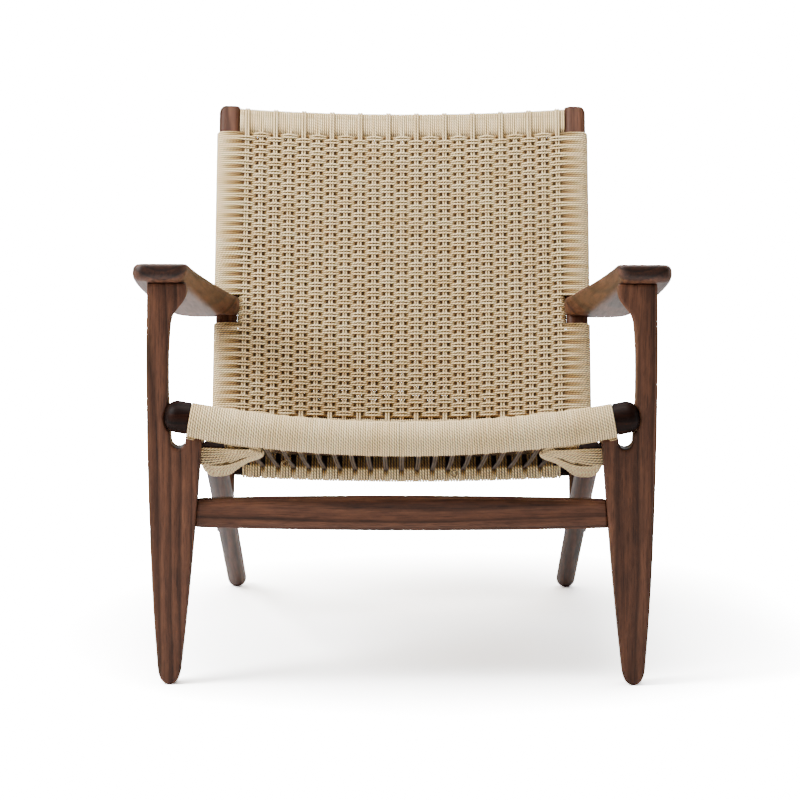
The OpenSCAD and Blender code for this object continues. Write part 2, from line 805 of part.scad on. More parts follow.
// Strands that leave the corner's underside and gather in one point under the seat
module corner_fan() {
    inner_x = side_x - rear_leg_d / 2;
    tip_z = under_z(fan_x, fan_y) - cord_d / 2 - 3.5;
    hull() {
        for (y = [corner_start_y, corner_end_y])
            translate([side_x, y, rear_leg_axis_z(y) - rear_leg_d / 2 / cos(rear_leg_slope) - cord_d - seat_gap])
                rotate([-90 - rear_leg_slope, 0, 0]) cylinder(d = cord_d, h = 2, $fn = 12);
        translate([fan_x, fan_y, tip_z]) scale([1, 1.6, 0.5]) sphere(r = 6, $fn = 16);
    }
}

module corner_cord() {
    color(cord_colour) difference() {
        union() {
            corner_envelope(cord_d);
            corner_fan();
        }
        corner_core();
    }
}

module corner_core() {
    hull() for (y = [corner_start_y - 1, corner_end_y + 1]) {
        translate([side_x, y, side_axis_z(y)]) rotate([-90, 0, 0])
            cylinder(d = side_rail_d / cos(seat_slope) + 2 * seat_gap, h = 0.3, $fn = 32);
        translate([side_x, y, rear_leg_axis_z(y)]) rotate([-90, 0, 0])
            cylinder(d = rear_leg_d / cos(rear_leg_slope) + 2 * seat_gap, h = 0.3, $fn = 32);
    }
}

module corner_cord_left() { left_hand() corner_cord(); }
module corner_cord_right() { corner_cord(); }

// ---------- Woven seat ----------

// The seat's upper layer runs from the front rail (v = 0) to the rear rail (v = 1)
function seat_edge_x(v) = side_x - 9.5 - 6.5 * v;
function seat_axis_z(x, v) = mix(
    rail_mid_z + rail_bend_r - sqrt(pow(rail_bend_r, 2) - x * x),
    rear_rail_mid_z + rear_rail_bend_r - sqrt(pow(rear_rail_bend_r, 2) - x * x), v);

function seat_z(x, v) = seat_axis_z(x, v) + (mix(rail_r, rear_rail_d / 2, v) + cord_d - weave_t / 2) / cos(seat_slope);

// The under cords run straight from beneath the front rail to the front of the rear rail
under_end_y = rear_rail_y - rear_rail_d / 2 - cord_d - seat_gap;
under_slope = atan((rail_mid_z - rail_r - rear_rail_mid_z) / (under_end_y - rail_y));
function under_z(x, y) = mix(seat_axis_z(x, 0) - (rail_r + cord_d / 2) / cos(under_slope), seat_axis_z(x, 1),
    (y - rail_y) / (under_end_y - rail_y));

// A sheet over a grid of points p(i, j), thickened along z
module sheet(grid, thickness) {
    rows = len(grid);
    cols = len(grid[0]);
    top = [for (row = grid) each [for (p = row) p + [0, 0, thickness / 2]]];
    bottom = [for (row = grid) each [for (p = row) p - [0, 0, thickness / 2]]];
    half = rows * cols;
    quads = [for (j = [0:rows - 2], i = [0:cols - 2]) let (a = j * cols + i) [a, a + 1, a + cols + 1, a + cols]];
    rim = concat([for (i = [0:cols - 1]) i], [for (j = [1:rows - 1]) j * cols + cols - 1],
        [for (i = [cols - 2:-1:0]) (rows - 1) * cols + i], [for (j = [rows - 2:-1:1]) j * cols]);
    polyhedron(concat(top, bottom), concat(
        [for (q = quads) each [[q[0], q[2], q[1]], [q[0], q[3], q[2]]]],
        [for (q = quads) each [[q[0] + half, q[1] + half, q[2] + half], [q[0] + half, q[2] + half, q[3] + half]]],
        [for (k = [0:len(rim) - 1]) let (a = rim[k], b = rim[(k + 1) % len(rim)])
            each [[a, b, b + half], [a, b + half, a + half]]]), convexity = 4);
}

// Distance along Y from a corded rail's axis at which a layer of thickness t comes onto its cord
function layer_start(side, r, t, slope) = let (w = r + cord_d, inner = w - t)
    sqrt(w * w - inner * inner) * cos(slope) + side * inner * sin(slope) + seat_gap;

module seat_upper_weave() {
    v0 = layer_start(1, rail_r, weave_t, seat_slope) / (rear_rail_y - rail_y);
    v1 = 1 - layer_start(-1, rear_rail_d / 2, weave_t, seat_slope) / (rear_rail_y - rail_y);
    color(cord_colour) sheet([for (j = [0:8]) let (v = mix(v0, v1, j / 8), half_w = seat_edge_x(v) - 1.5)
        [for (i = [-6:6]) let (x = i / 6 * half_w) [x, mix(rail_y, rear_rail_y, v), seat_z(x, v)]]],
        weave_t - 2 * seat_gap);
}

module seat_under_cords() {
    start_y = rail_y + layer_start(-1, rail_r, cord_d, under_slope);
    half_w = side_x - rear_leg_d / 2 - cord_d - 15;
    color(cord_colour) sheet([for (j = [0:8]) let (y = mix(start_y, under_end_y, j / 8))
        [for (i = [-6:6]) let (x = i / 6 * half_w) [x, y, under_z(x, y)]]],
        cord_d - 2 * seat_gap);
}

// ---------- Woven back ----------

module back_rail_wrap(drop) {
    color(cord_colour) on_back() intersection() {
        back_rail_sweep(drop) difference() {
            back_rail_profile(cord_d);
            back_rail_profile(seat_gap);
        }
        between_posts(cord_d + seat_gap);
    }
}

module top_rail_cord() { back_rail_wrap(top_rail_drop); }
module bottom_rail_cord() { back_rail_wrap(bottom_rail_drop); }

// Band that the armrest's joint keeps free of cord on the post
module armrest_band(below) {
    on_armrest() translate([0, 0, -below]) rotate([atan(arm_growth / arm_post_v) / 2, 0, 0])
        translate([post_inner_x - 50, arm_post_v - 120, 0])
        cube([chair_w, chair_d, arm_t + arm_growth + below + 2]);
}

post_cord_l = bottom_rail_drop + back_rail_h / 2 + 8;

module post_cord() {
    color(cord_colour) difference() {
        on_back() translate([post_x, 0, -post_cord_l]) linear_extrude(post_cord_l - post_bare) difference() {
            post_section(cord_d);
            post_section(seat_gap);
        }
        armrest_band(10);
        // Room for the bottom rail, which meets the post under the cord
        on_back() translate([post_inner_x, 0, -bottom_rail_drop]) rotate([0, 90, -back_half_angle])
            linear_extrude(40, center = true) rotate(90) back_rail_profile(seat_gap);
    }
}

module post_cord_left() { left_hand() post_cord(); }
module post_cord_right() { post_cord(); }

// The two woven layers, in the frame of the back: side = -1 in front, 1 behind
module back_layer(side) {
    top = -top_rail_drop - back_half_straight - back_rail_t / 2 - 1;
    bottom = -bottom_rail_drop + back_half_straight + back_rail_t / 2 + 1;
    half_x = post_inner_x - cord_d - 2 * seat_gap;
    offset_y = side * (back_rail_t / 2 + cord_d - weave_t / 2);
    color(cord_colour) on_back() rotate([90, 0, 0])
        sheet([for (j = [0:8]) let (k = j / 8, relax = 1 - 1.6 * k * (1 - k))
            [for (i = [-6:6]) let (x = i / 6 * half_x)
                [x, mix(bottom, top, k), -offset_y - back_bow * relax * (1 - pow(x / post_inner_x, 2))]]],
            weave_t - 2 * seat_gap);
}

module back_front_weave() { back_layer(-1); }
module back_rear_weave() { back_layer(1); }

// ---------- Assembly ----------

front_leg_left();
front_leg_right();
armrest_left();
armrest_right();
rear_leg_left();
rear_leg_right();
back_post_left();
back_post_right();
front_stretcher();
seat_front_rail();
seat_rear_rail();
seat_side_rail_left();
seat_side_rail_right();
back_top_rail();
back_bottom_rail();
rail_dowels();
armrest_front_dowels();
armrest_rear_dowels();
front_rail_cord();
rear_rail_cord();
side_rail_cord_left();
side_rail_cord_right();
corner_cord_left();
corner_cord_right();
seat_upper_weave();
seat_under_cords();
top_rail_cord();
bottom_rail_cord();
post_cord_left();
post_cord_right();
back_front_weave();
back_rear_weave();
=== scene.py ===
# %% [markdown]
# # A walnut and paper-cord lounge chair
# The chair's construction comes in as a fixed frame, in metres. The floor is Z = 0, X points to the right
# seen from the front, and Y to the rear. This lesson dresses it: soft-edged wooden parts, walnut grain
# that follows each part, and every strand of the woven cord as a round tube of its own. The frame's parts
# are never moved, and their box is read first, because the chair has to keep its size.

# %% Load the frame
import math

import bmesh
import bpy
import numpy as np
from mathutils import Matrix, Vector


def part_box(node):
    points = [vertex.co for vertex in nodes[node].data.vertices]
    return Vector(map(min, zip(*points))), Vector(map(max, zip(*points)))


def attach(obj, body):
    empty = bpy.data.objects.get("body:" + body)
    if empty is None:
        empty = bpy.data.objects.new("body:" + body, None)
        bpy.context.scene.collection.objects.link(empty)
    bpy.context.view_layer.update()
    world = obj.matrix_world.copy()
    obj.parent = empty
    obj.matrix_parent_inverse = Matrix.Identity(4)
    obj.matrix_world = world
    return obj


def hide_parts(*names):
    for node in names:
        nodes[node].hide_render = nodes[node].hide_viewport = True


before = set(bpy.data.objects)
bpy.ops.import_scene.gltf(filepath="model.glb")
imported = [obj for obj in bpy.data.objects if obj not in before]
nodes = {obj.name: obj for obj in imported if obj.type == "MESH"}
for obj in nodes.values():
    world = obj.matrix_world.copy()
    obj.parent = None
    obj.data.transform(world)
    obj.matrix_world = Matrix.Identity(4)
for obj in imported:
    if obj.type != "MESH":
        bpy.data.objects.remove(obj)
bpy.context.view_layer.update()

# %% [markdown]
# ## Sizes that the woven parts share
# Seat cord is about 3.2 mm thick. A weaver works it in pairs: two cords side by side pass over and under
# two warp cords. So the thickness of the cord, the height of a pair and the width of a column of the weave
# fix almost everything else, and they are set once, here. Where the back's posts stand is read from the
# frame.

# %% Cord sizes and the frame's key lines
CORD = 0.0033  # thickness of the cord
R = CORD / 2
PAIR = 0.0065  # height of a row, which is a pair of cords
COLUMN = 0.021  # distance between the back's warp pairs
RECLINE = math.radians(25)
ACROSS, TO_REAR, UP = (1.0, 0.0, 0.0), (0.0, 1.0, 0.0), (0.0, 0.0, 1.0)


def middle(node):
    lo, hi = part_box(node)
    return (lo + hi) / 2


post_lo, post_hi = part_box("back_post_right")
POST_X = (post_lo.x + post_hi.x) / 2
POST_HALF = (post_hi.x - post_lo.x) / 2
POST_DEEP = 0.015  # half of a post's depth
POST_EDGE = 0.009  # rounding of its long edges
BACK_Y = post_hi.y - POST_DEEP * math.cos(RECLINE)
BACK_Z = post_hi.z - POST_DEEP * math.sin(RECLINE)

# %% [markdown]
# ## A tube for every strand
# Seat and back are woven by hand from several hundred metres of cord. A printed pattern on a sheet would
# look flat, and a curve with a round bevel gives neither a length in metres along each strand nor a value
# for each point. So a strand is a list of points with the direction towards its neighbours, and a short
# function stands a ring of vertices across it at each point.
#
# The UV map runs once round the tube and along it in metres, so that the three plies follow every strand. A
# strand may also have a shade for each point: 1 in the open, and less where it dives into the weave and
# little light reaches it.


# %% The cord tubes
def unit(v):
    return v / np.maximum(np.linalg.norm(v, axis=-1, keepdims=True), 1e-9)


def tube(points, outward, radius, sides):
    """Ring points, with the distance along the strand at each ring."""
    points = np.asarray(points, float)
    tangent = unit(np.gradient(points, axis=0))
    across = unit(np.cross(tangent, np.broadcast_to(outward, points.shape)))
    normal = np.cross(across, tangent)
    angle = np.arange(sides) * 2 * math.pi / sides
    ring = np.cos(angle)[None, :, None] * normal[:, None] + np.sin(angle)[None, :, None] * across[:, None]
    steps = np.linalg.norm(np.diff(points, axis=0), axis=1)
    return points[:, None] + radius * ring, np.concatenate([[0], np.cumsum(steps)])


STRAND_SHIFT = 0.37  # the twist starts elsewhere on each strand


def cord_piece(name, strands, node_names=(), radius=R, sides=6):
    """One object with a closed tube for each strand: (points, direction to its neighbours, shades if any).
    It takes the place of the frame's nodes that are named."""
    verts, faces, uvs, shades, base, along_start = [], [], [], [], 0, 0.0
    j = np.arange(sides)
    for points, outward, *shade in strands:
        rings, along = tube(points, outward, radius, sides)
        n = len(rings)
        shades.append(np.repeat(shade[0] if shade else np.ones(n), sides))
        along = along + along_start
        along_start = along[-1] % 1.0 + STRAND_SHIFT
        i = np.arange(n - 1)[:, None]
        a, b = base + i * sides + j, base + i * sides + (j + 1) % sides
        faces += np.stack([a, b, b + sides, a + sides], -1).reshape(-1, 4).tolist()
        faces += [(base + j[::-1]).tolist(), (base + (n - 1) * sides + j).tolist()]
        u0, u1 = np.broadcast_to(j / sides, a.shape), np.broadcast_to((j + 1) / sides, a.shape)
        v0, v1 = np.broadcast_to(along[:-1, None], a.shape), np.broadcast_to(along[1:, None], a.shape)
        uvs.append(np.stack([u0, v0, u1, v0, u1, v1, u0, v1], -1).reshape(-1, 2))
        uvs.append(np.stack([j / sides, np.full(sides, along[0])], -1))
        uvs.append(np.stack([j / sides, np.full(sides, along[-1])], -1))
        verts.append(rings.reshape(-1, 3))
        base += n * sides
    mesh = bpy.data.meshes.new(name)
    mesh.from_pydata(np.concatenate(verts).tolist(), [], faces)
    mesh.uv_layers.new(name="Strand").data.foreach_set("uv", np.concatenate(uvs).ravel())
    mesh.attributes.new("Shade", "FLOAT", "POINT").data.foreach_set("value", np.concatenate(shades))
    mesh.shade_smooth()
    obj = bpy.data.objects.new(name, mesh)
    bpy.context.scene.collection.objects.link(obj)
    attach(obj, "root")
    if node_names:
        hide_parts(*node_names)
    mesh.materials.append(paper_cord)
    print(name, len(strands), "strands,", sum(len(f) - 2 for f in faces), "triangles")


# %% [markdown]
# ## Shader groups
# Walnut's figure is on every wooden part, each cut another way from its plank, so it is one node group
# that every wood material places with its own values. The twist of the cord is a second group. Both are built
# in Python, with short functions that add nodes, ramps, sums and mixed colours.


# %% Functions that add nodes
def node_group(name, inputs, outputs):
    group = bpy.data.node_groups.new(name, "ShaderNodeTree")
    for socket_name, kind, value in inputs:
        socket = group.interface.new_socket(socket_name, in_out="INPUT", socket_type=kind)
        if value is not None:
            socket.default_value = value
    for socket_name, kind in outputs:
        group.interface.new_socket(socket_name, in_out="OUTPUT", socket_type=kind)
    return group, group.nodes.new("NodeGroupInput"), group.nodes.new("NodeGroupOutput")


def add(tree, kind, values=None, links=None, **settings):
    """Adds a node, sets its settings and input values, and links its inputs to other nodes' outputs."""
    node = tree.nodes.new("ShaderNode" + kind)
    for key, value in settings.items():
        setattr(node, key, value)
    for key, value in (values or {}).items():
        node.inputs[key].default_value = value
    for key, source in (links or {}).items():
        tree.links.new(source, node.inputs[key])
    return node


def ramp(tree, source, stops):
    """A colour ramp from (position, colour) stops."""
    node = add(tree, "ValToRGB", links={0: source})
    elements = node.color_ramp.elements
    while len(elements) < len(stops):
        elements.new(0.5)
    for element, (position, colour) in zip(elements, stops):
        element.position = position
        element.color = (*colour, 1)
    return node.outputs["Color"]


def math_node(tree, operation, a, b=None):
    node = tree.nodes.new("ShaderNodeMath")
    node.operation = operation
    for index, value in enumerate((a, b)):
        if isinstance(value, (int, float)):
            node.inputs[index].default_value = value
        elif value is not None:
            tree.links.new(value, node.inputs[index])
    return node.outputs[0]


def mix_colour(tree, kind, factor, a, b):
    node = tree.nodes.new("ShaderNodeMix")
    node.data_type = "RGBA"
    node.blend_type = kind
    for key, value in ((0, factor), (6, a), (7, b)):
        if isinstance(value, (int, float)):
            node.inputs[key].default_value = value
        elif isinstance(value, tuple):
            node.inputs[key].default_value = (*value, 1)
        else:
            tree.links.new(value, node.inputs[key])
    return node.outputs[2]


def new_material(name):
    """A material with its node tree and its Principled BSDF."""
    material = bpy.data.materials.new(name)
    material.use_nodes = True
    return material, material.node_tree, material.node_tree.nodes["Principled BSDF"]


# %% [markdown]
# ## Walnut's figure
# Walnut's growth rings are nested, slightly wandering cones. A board cut through them shows long streaks
# at its edges and arches in its middle, and short dark pores run along the grain. The Wave texture could
# draw straight rings, but its lines don't close to arches. So the group measures the distance from the
# heart of the log, bends it with slow noise, and makes it into rings. Streaks, broad tones and pores are
# stretched noise.


# %% Walnut figure
def make_walnut_figure():
    tree, inp, out = node_group(
        "walnut_figure",
        [("Vector", "NodeSocketVector", None), ("Ring Width", "NodeSocketFloat", 0.011),
         ("Wander", "NodeSocketFloat", 0.02), ("Seed", "NodeSocketFloat", 0.0)],
        [("Color", "NodeSocketColor"), ("Roughness", "NodeSocketFloat"), ("Height", "NodeSocketFloat")])
    place = inp.outputs["Vector"]
    slow = add(tree, "Mapping", {"Scale": (9, 9, 2.2)}, {"Vector": place})
    wander = add(tree, "TexNoise", {"Scale": 1.0, "Detail": 2.0, "W": 0.0},
                 {"Vector": slow.outputs[0], "W": inp.outputs["Seed"]}, noise_dimensions="4D")
    centred = add(tree, "VectorMath", {1: (0.5, 0.5, 0.5)}, {0: wander.outputs["Color"]},
                  operation="SUBTRACT")
    spread = add(tree, "VectorMath", None, {0: centred.outputs[0], "Scale": inp.outputs["Wander"]},
                 operation="SCALE")
    moved = add(tree, "VectorMath", None, {0: place, 1: spread.outputs[0]}, operation="ADD")
    flat = add(tree, "VectorMath", {1: (1, 1, 0.04)}, {0: moved.outputs[0]}, operation="MULTIPLY")
    distance = add(tree, "VectorMath", None, {0: flat.outputs[0]}, operation="LENGTH")
    ring = math_node(tree, "DIVIDE", distance.outputs["Value"], inp.outputs["Ring Width"])
    uneven = add(tree, "TexNoise", {"Scale": 0.9, "Detail": 1.0}, {"W": ring}, noise_dimensions="1D")
    late = math_node(tree, "FRACT", math_node(tree, "ADD", ring, uneven.outputs[0]))
    streak_map = add(tree, "Mapping", {"Scale": (190, 190, 7)}, {"Vector": moved.outputs[0]})
    streak = add(tree, "TexNoise", {"Scale": 1.0, "Detail": 4.0, "Roughness": 0.65},
                 {"Vector": streak_map.outputs[0]})
    fibre_map = add(tree, "Mapping", {"Scale": (900, 900, 28)}, {"Vector": place})
    fibre = add(tree, "TexNoise", {"Scale": 1.0, "Detail": 2.0}, {"Vector": fibre_map.outputs[0]})
    broad = add(tree, "TexNoise", {"Scale": 14.0, "Detail": 2.0}, {"Vector": slow.outputs[0]})
    colour = ramp(tree, late, [(0.0, (0.114, 0.046, 0.024)), (0.55, (0.088, 0.0335, 0.0165)),
                               (0.86, (0.042, 0.015, 0.007)), (1.0, (0.105, 0.043, 0.022))])
    streaks = ramp(tree, streak.outputs[0], [(0.32, (0.50, 0.46, 0.44)), (0.5, (0.95, 0.94, 0.93)),
                                             (0.72, (1.28, 1.28, 1.26))])
    colour = mix_colour(tree, "MULTIPLY", 0.85, colour, streaks)
    tone = ramp(tree, broad.outputs[0], [(0.3, (0.78, 0.76, 0.76)), (0.7, (1.22, 1.2, 1.16))])
    colour = mix_colour(tree, "MULTIPLY", 0.8, colour, tone)
    pores = ramp(tree, fibre.outputs[0], [(0.36, (0.42, 0.38, 0.36)), (0.44, (1, 1, 1))])
    colour = mix_colour(tree, "MULTIPLY", 0.7, colour, pores)
    tree.links.new(colour, out.inputs["Color"])
    rough = add(tree, "MapRange", {"To Min": 0.58, "To Max": 0.42}, {"Value": streak.outputs[0]})
    tree.links.new(rough.outputs[0], out.inputs["Roughness"])
    height = math_node(tree, "ADD", math_node(tree, "MULTIPLY", fibre.outputs[0], 0.6),
                       math_node(tree, "MULTIPLY", streak.outputs[0], 0.4))
    tree.links.new(height, out.inputs["Height"])
    return tree


walnut_figure = make_walnut_figure()


# %% [markdown]
# ## Walnut for each part
# The wood is oiled to a satin finish, and its end grain drinks more oil and turns darker. One material for
# all parts would run its grain across half of them. So only the dark rails and the dowels share one. `along`
# is the way of a part's grain, and `heart` says where the heart of the log lay beside it, which gives it
# its own cut of the rings. The end grain is found by the surface's direction, so it also darkens a leg's
# rounded end.


# %% Walnut materials
def walnut(name, along, heart, seed=0.0, tint=(1, 1, 1), polish=0.22):
    material, tree, shader = new_material(name)
    turn = Vector(along).rotation_difference(Vector((0, 0, 1))).to_euler()
    coordinates = add(tree, "TexCoord")
    turned = add(tree, "Mapping", {"Rotation": turn}, {"Vector": coordinates.outputs["Object"]})
    placed = add(tree, "Mapping", {"Location": heart}, {"Vector": turned.outputs[0]})
    figure = add(tree, "Group", {"Seed": seed}, {"Vector": placed.outputs[0]}, node_tree=walnut_figure)
    facing = add(tree, "VectorMath", {1: along}, {0: add(tree, "NewGeometry").outputs["Normal"]},
                 operation="DOT_PRODUCT")
    end_grain = add(tree, "MapRange", {"From Min": 0.55, "From Max": 0.95},
                    {"Value": math_node(tree, "ABSOLUTE", facing.outputs["Value"])})
    toned = mix_colour(tree, "MULTIPLY", 1.0, figure.outputs["Color"], tint)
    colour = mix_colour(tree, "MULTIPLY", end_grain.outputs[0], toned, (0.30, 0.25, 0.23))
    tree.links.new(colour, shader.inputs["Base Color"])
    tree.links.new(figure.outputs["Roughness"], shader.inputs["Roughness"])
    bump = add(tree, "Bump", {"Strength": 0.25, "Distance": 0.0006}, {"Height": figure.outputs["Height"]})
    tree.links.new(bump.outputs[0], shader.inputs["Normal"])
    shader.inputs["Specular IOR Level"].default_value = polish
    return material


# %% [markdown]
# ## Paper cord
# The cord is three plies of brown paper twisted together, which show as slanted ridges with dark lines
# between them. Modelled plies would need many times the faces. The strand's own UV map gives the same
# ridges: the phase of a sine grows both round the strand and along it. Their dark lines are painted shade
# in the creases between the plies, with a slight painted highlight on the ridges. The group also puts out
# the Crown output, which is 1 where the strand faces out and 0 where it touches its neighbours. With it
# every strand gets painted shade at its sides and a painted highlight where it faces out.


# %% Cord material
PLY_TURN = 0.0135  # length in which a ply goes once round
PLIES = 3.0


def make_twist():
    tree, inp, out = node_group(
        "cord_twist",
        [("Vector", "NodeSocketVector", None), ("Turn", "NodeSocketFloat", PLY_TURN)],
        [("Ridge", "NodeSocketFloat"), ("Fray", "NodeSocketFloat"), ("Crown", "NodeSocketFloat")])
    parts = add(tree, "SeparateXYZ", None, {0: inp.outputs["Vector"]})
    climb = math_node(tree, "DIVIDE", parts.outputs["Y"], inp.outputs["Turn"])
    phase = math_node(tree, "ADD", math_node(tree, "MULTIPLY", climb, PLIES),
                      math_node(tree, "MULTIPLY", parts.outputs["X"], PLIES))
    wave = math_node(tree, "ABSOLUTE", math_node(tree, "SINE", math_node(tree, "MULTIPLY", phase, math.pi)))
    tree.links.new(math_node(tree, "POWER", wave, 0.8), out.inputs["Ridge"])
    around = math_node(tree, "SINE", math_node(tree, "MULTIPLY", parts.outputs["X"], 2 * math.pi))
    tree.links.new(math_node(tree, "ABSOLUTE", around), out.inputs["Crown"])
    stretched = add(tree, "Mapping", {"Scale": (9, 900, 1)}, {"Vector": inp.outputs["Vector"]})
    fray = add(tree, "TexNoise", {"Scale": 1.0, "Detail": 3.0}, {"Vector": stretched.outputs[0]})
    tree.links.new(fray.outputs[0], out.inputs["Fray"])
    return tree


cord_twist = make_twist()


def make_paper_cord():
    material, tree, shader = new_material("paper_cord")
    strand = add(tree, "UVMap", uv_map="Strand")
    twist = add(tree, "Group", None, {"Vector": strand.outputs[0]}, node_tree=cord_twist)
    along = add(tree, "Mapping", {"Scale": (0.0, 11.0, 1.0)}, {"Vector": strand.outputs[0]})
    drift = add(tree, "TexNoise", {"Scale": 1.0, "Detail": 2.0}, {"Vector": along.outputs[0]})
    tone = ramp(tree, drift.outputs[0], [(0.3, (0.83, 0.60, 0.31)), (0.5, (0.95, 0.73, 0.42)),
                                        (0.75, (1.0, 0.84, 0.54))])
    # Painted shade in the creases between the plies, and a slight painted highlight on their ridges.
    ply_crease_shade = ramp(tree, twist.outputs["Ridge"], [(0.0, (0.10, 0.07, 0.04)), (0.55, (0.86, 0.83, 0.79)),
                                                (1.0, (1.14, 1.14, 1.13))])
    colour = mix_colour(tree, "MULTIPLY", 0.95, tone, ply_crease_shade)
    # Painted shade at each strand's sides, where it touches its neighbours, and a painted highlight where it
    # faces out.
    painted_side_shade_and_highlight = ramp(tree, twist.outputs["Crown"], [(0.0, (0.03, 0.015, 0.006)), (0.45, (0.52, 0.45, 0.35)),
                                               (0.8, (1.0, 0.98, 0.95)), (1.0, (1.28, 1.28, 1.26))])
    colour = mix_colour(tree, "MULTIPLY", 1.0, colour, painted_side_shade_and_highlight)
    fray = ramp(tree, twist.outputs["Fray"], [(0.3, (0.86, 0.85, 0.83)), (0.7, (1.08, 1.08, 1.07))])
    colour = mix_colour(tree, "MULTIPLY", 0.7, colour, fray)
    # Painted shade from each point's Shade value: darker where a strand dives into the weave, lies in the
    # seat's hollow or is tucked under a rail's turns.
    shade = add(tree, "Attribute", attribute_name="Shade")
    deep = ramp(tree, shade.outputs["Fac"], [(0.0, (0.035, 0.018, 0.008)), (0.5, (0.5, 0.41, 0.29)),
                                             (1.0, (1, 1, 1))])
    colour = mix_colour(tree, "MULTIPLY", 1.0, colour, deep)
    tree.links.new(colour, shader.inputs["Base Color"])
    shader.inputs["Roughness"].default_value = 0.74
    shader.inputs["Specular IOR Level"].default_value = 0.18
    shader.inputs["Sheen Weight"].default_value = 0.05
    bump = add(tree, "Bump", {"Strength": 1.0, "Distance": 0.0009}, {"Height": twist.outputs["Ridge"]})
    tree.links.new(bump.outputs[0], shader.inputs["Normal"])
    return material


paper_cord = make_paper_cord()

# %% [markdown]
# ## The back
# The back leans by 25 degrees, so its points are easier to work out in its own space: x across, t up along
# the posts from their tops, and n backwards. Two functions turn points and directions to the chair's axes.
# The two rails bow backwards in their middle, and the cord between them takes a little less of that bow.


# %% The back's own space
TOP_DROP, TOP_HALF = 0.0212, 0.0078  # middle of the top rail below the tops, half of its straight faces
BOTTOM_DROP, BOTTOM_HALF = 0.494, 0.006  # the same for the cord round the lower rail
WOOD_DROP = 0.4681  # middle of the lower rail's wood
RAIL_R = 0.011  # rounding of both rails
BOW = 0.022  # how far the rails bow backwards
SLACK = 1.6  # how much straighter than the rails the cord between them is
EDGE_X = POST_X - POST_HALF
SIN, COS = math.sin(RECLINE), math.cos(RECLINE)


def back_to_world(x, t, n):
    x, t, n = np.broadcast_arrays(x, t, n)
    return np.stack([x, BACK_Y + t * SIN + n * COS, BACK_Z + t * COS - n * SIN], -1)


def back_direction(x, t, n):
    x, t, n = np.broadcast_arrays(np.asarray(x, float), np.asarray(t, float), np.asarray(n, float))
    return np.stack([x, t * SIN + n * COS, t * COS - n * SIN], -1)


def rail_bow(x):
    return BOW * (1 - (x / EDGE_X) ** 2)


def bow_at(x, t):
    share = np.clip((t + WOOD_DROP) / (WOOD_DROP - TOP_DROP), 0, 1)
    return (1 - SLACK * share * (1 - share)) * rail_bow(x)


LAYER = RAIL_R + R + 0.0004  # from the middle of the back to the middle of a woven layer
UNDER_TURNS = 0.0022  # how far the first and last rows reach under the rails' turns
WEAVE_TOP = -TOP_DROP - TOP_HALF - RAIL_R - CORD + UNDER_TURNS
WEAVE_BOTTOM = -BOTTOM_DROP + BOTTOM_HALF + RAIL_R + CORD - UNDER_TURNS
ROWS = round((WEAVE_TOP - WEAVE_BOTTOM) / PAIR)
ROW = (WEAVE_TOP - WEAVE_BOTTOM) / ROWS
LAST = 11  # number of the outermost warp pair, counted from the middle one
print("back:", ROWS, "rows of paired cord")


def row_t(row):
    return WEAVE_TOP - (row + 0.5) * ROW


# %% [markdown]
# ## The back's weft
# The weft is the cord that runs across. On the real chair it goes across the front, round a post, across
# behind and round the other post, and waves over one warp pair and under the next. Two flat woven sheets
# would be quicker, but would miss the thing one sees first: the two cords of a pair spread to the shape of
# a lens where they lie on top, and close up where they dive, which leaves a small dark window at each side
# of the warp. So every cord is one closed loop on a cosine. The rear layer is drawn tighter, so that little
# of the floor shows through the back.


# %% How a weft cord waves
WAVE = 0.0026  # how far it swings forwards and back
BLUNT = 0.75  # below 1, the wave has flat tops and steep sides
CLOSE = 0.00158  # distance of a cord from the middle of its pair where they lie close
LENS, TIGHT = 0.00085, 0.0001  # how much farther apart they lie on top, in front and behind


def smooth(x):
    x = np.clip(x, 0, 1)
    return x * x * (3 - 2 * x)


def weft_wave(x, column, row):
    """From -1, under a warp pair, to 1, over it."""
    swing = np.cos(math.pi * x / column) * (-1) ** row
    return np.sign(swing) * np.abs(swing) ** BLUNT


def pair_offset(wave, lens):
    """Distance of each weft cord from the middle of its pair."""
    return CLOSE + lens * np.clip(wave, 0, 1) ** 1.5


# Painted shade: a weft cord darkens where it dives under a warp pair, which deepens the windows beside the
# warp.
def weft_shade(wave):
    return 0.12 + 0.88 * smooth((wave + 0.75) / 1.05)


# %% Rows and turns of the back's weft
STEPS = 6  # points from one warp pair to the next


def weft_row(row, pair, side):
    """A weft cord's points across one layer of the back, between the outermost warp pairs."""
    x = np.linspace(-LAST, LAST, 2 * LAST * STEPS + 1) * COLUMN
    wave = weft_wave(x, COLUMN, row)
    t = row_t(row) + pair * pair_offset(wave, LENS if side < 0 else TIGHT)
    n = bow_at(x, t) + side * (LAYER + WAVE * wave)
    return x, t, n, weft_shade(wave)


def post_turn(t, from_side):
    """Points round a right-hand post, from the front (from_side = -1) to the back."""
    reach, deep, corner = POST_HALF + R, POST_DEEP + R, POST_EDGE + R
    points = [(POST_X - 0.010, -deep), (POST_X, -deep)]
    for angle in np.linspace(-90, 0, 5):
        a = math.radians(angle)
        points.append((POST_X + reach - corner + corner * math.cos(a), -deep + corner + corner * math.sin(a)))
    points += [(x, -n) for x, n in reversed(points)]
    x, n = np.array(points).T
    return x, np.full_like(x, t), n * -from_side


def inner_turn(t):
    """Points round the outermost warp pair, where the armrest keeps the cord from going round the post."""
    a = np.radians(np.linspace(-80, 80, 7))
    return LAST * COLUMN + 0.0012 + 0.0081 * np.cos(a), np.full(len(a), t), LAYER * np.sin(a)


ARM_FALL = math.radians(11.55)
ARM_FRONT_Y, ARM_UNDER, ARM_DEEP = -0.36704, 0.5455, 0.0240


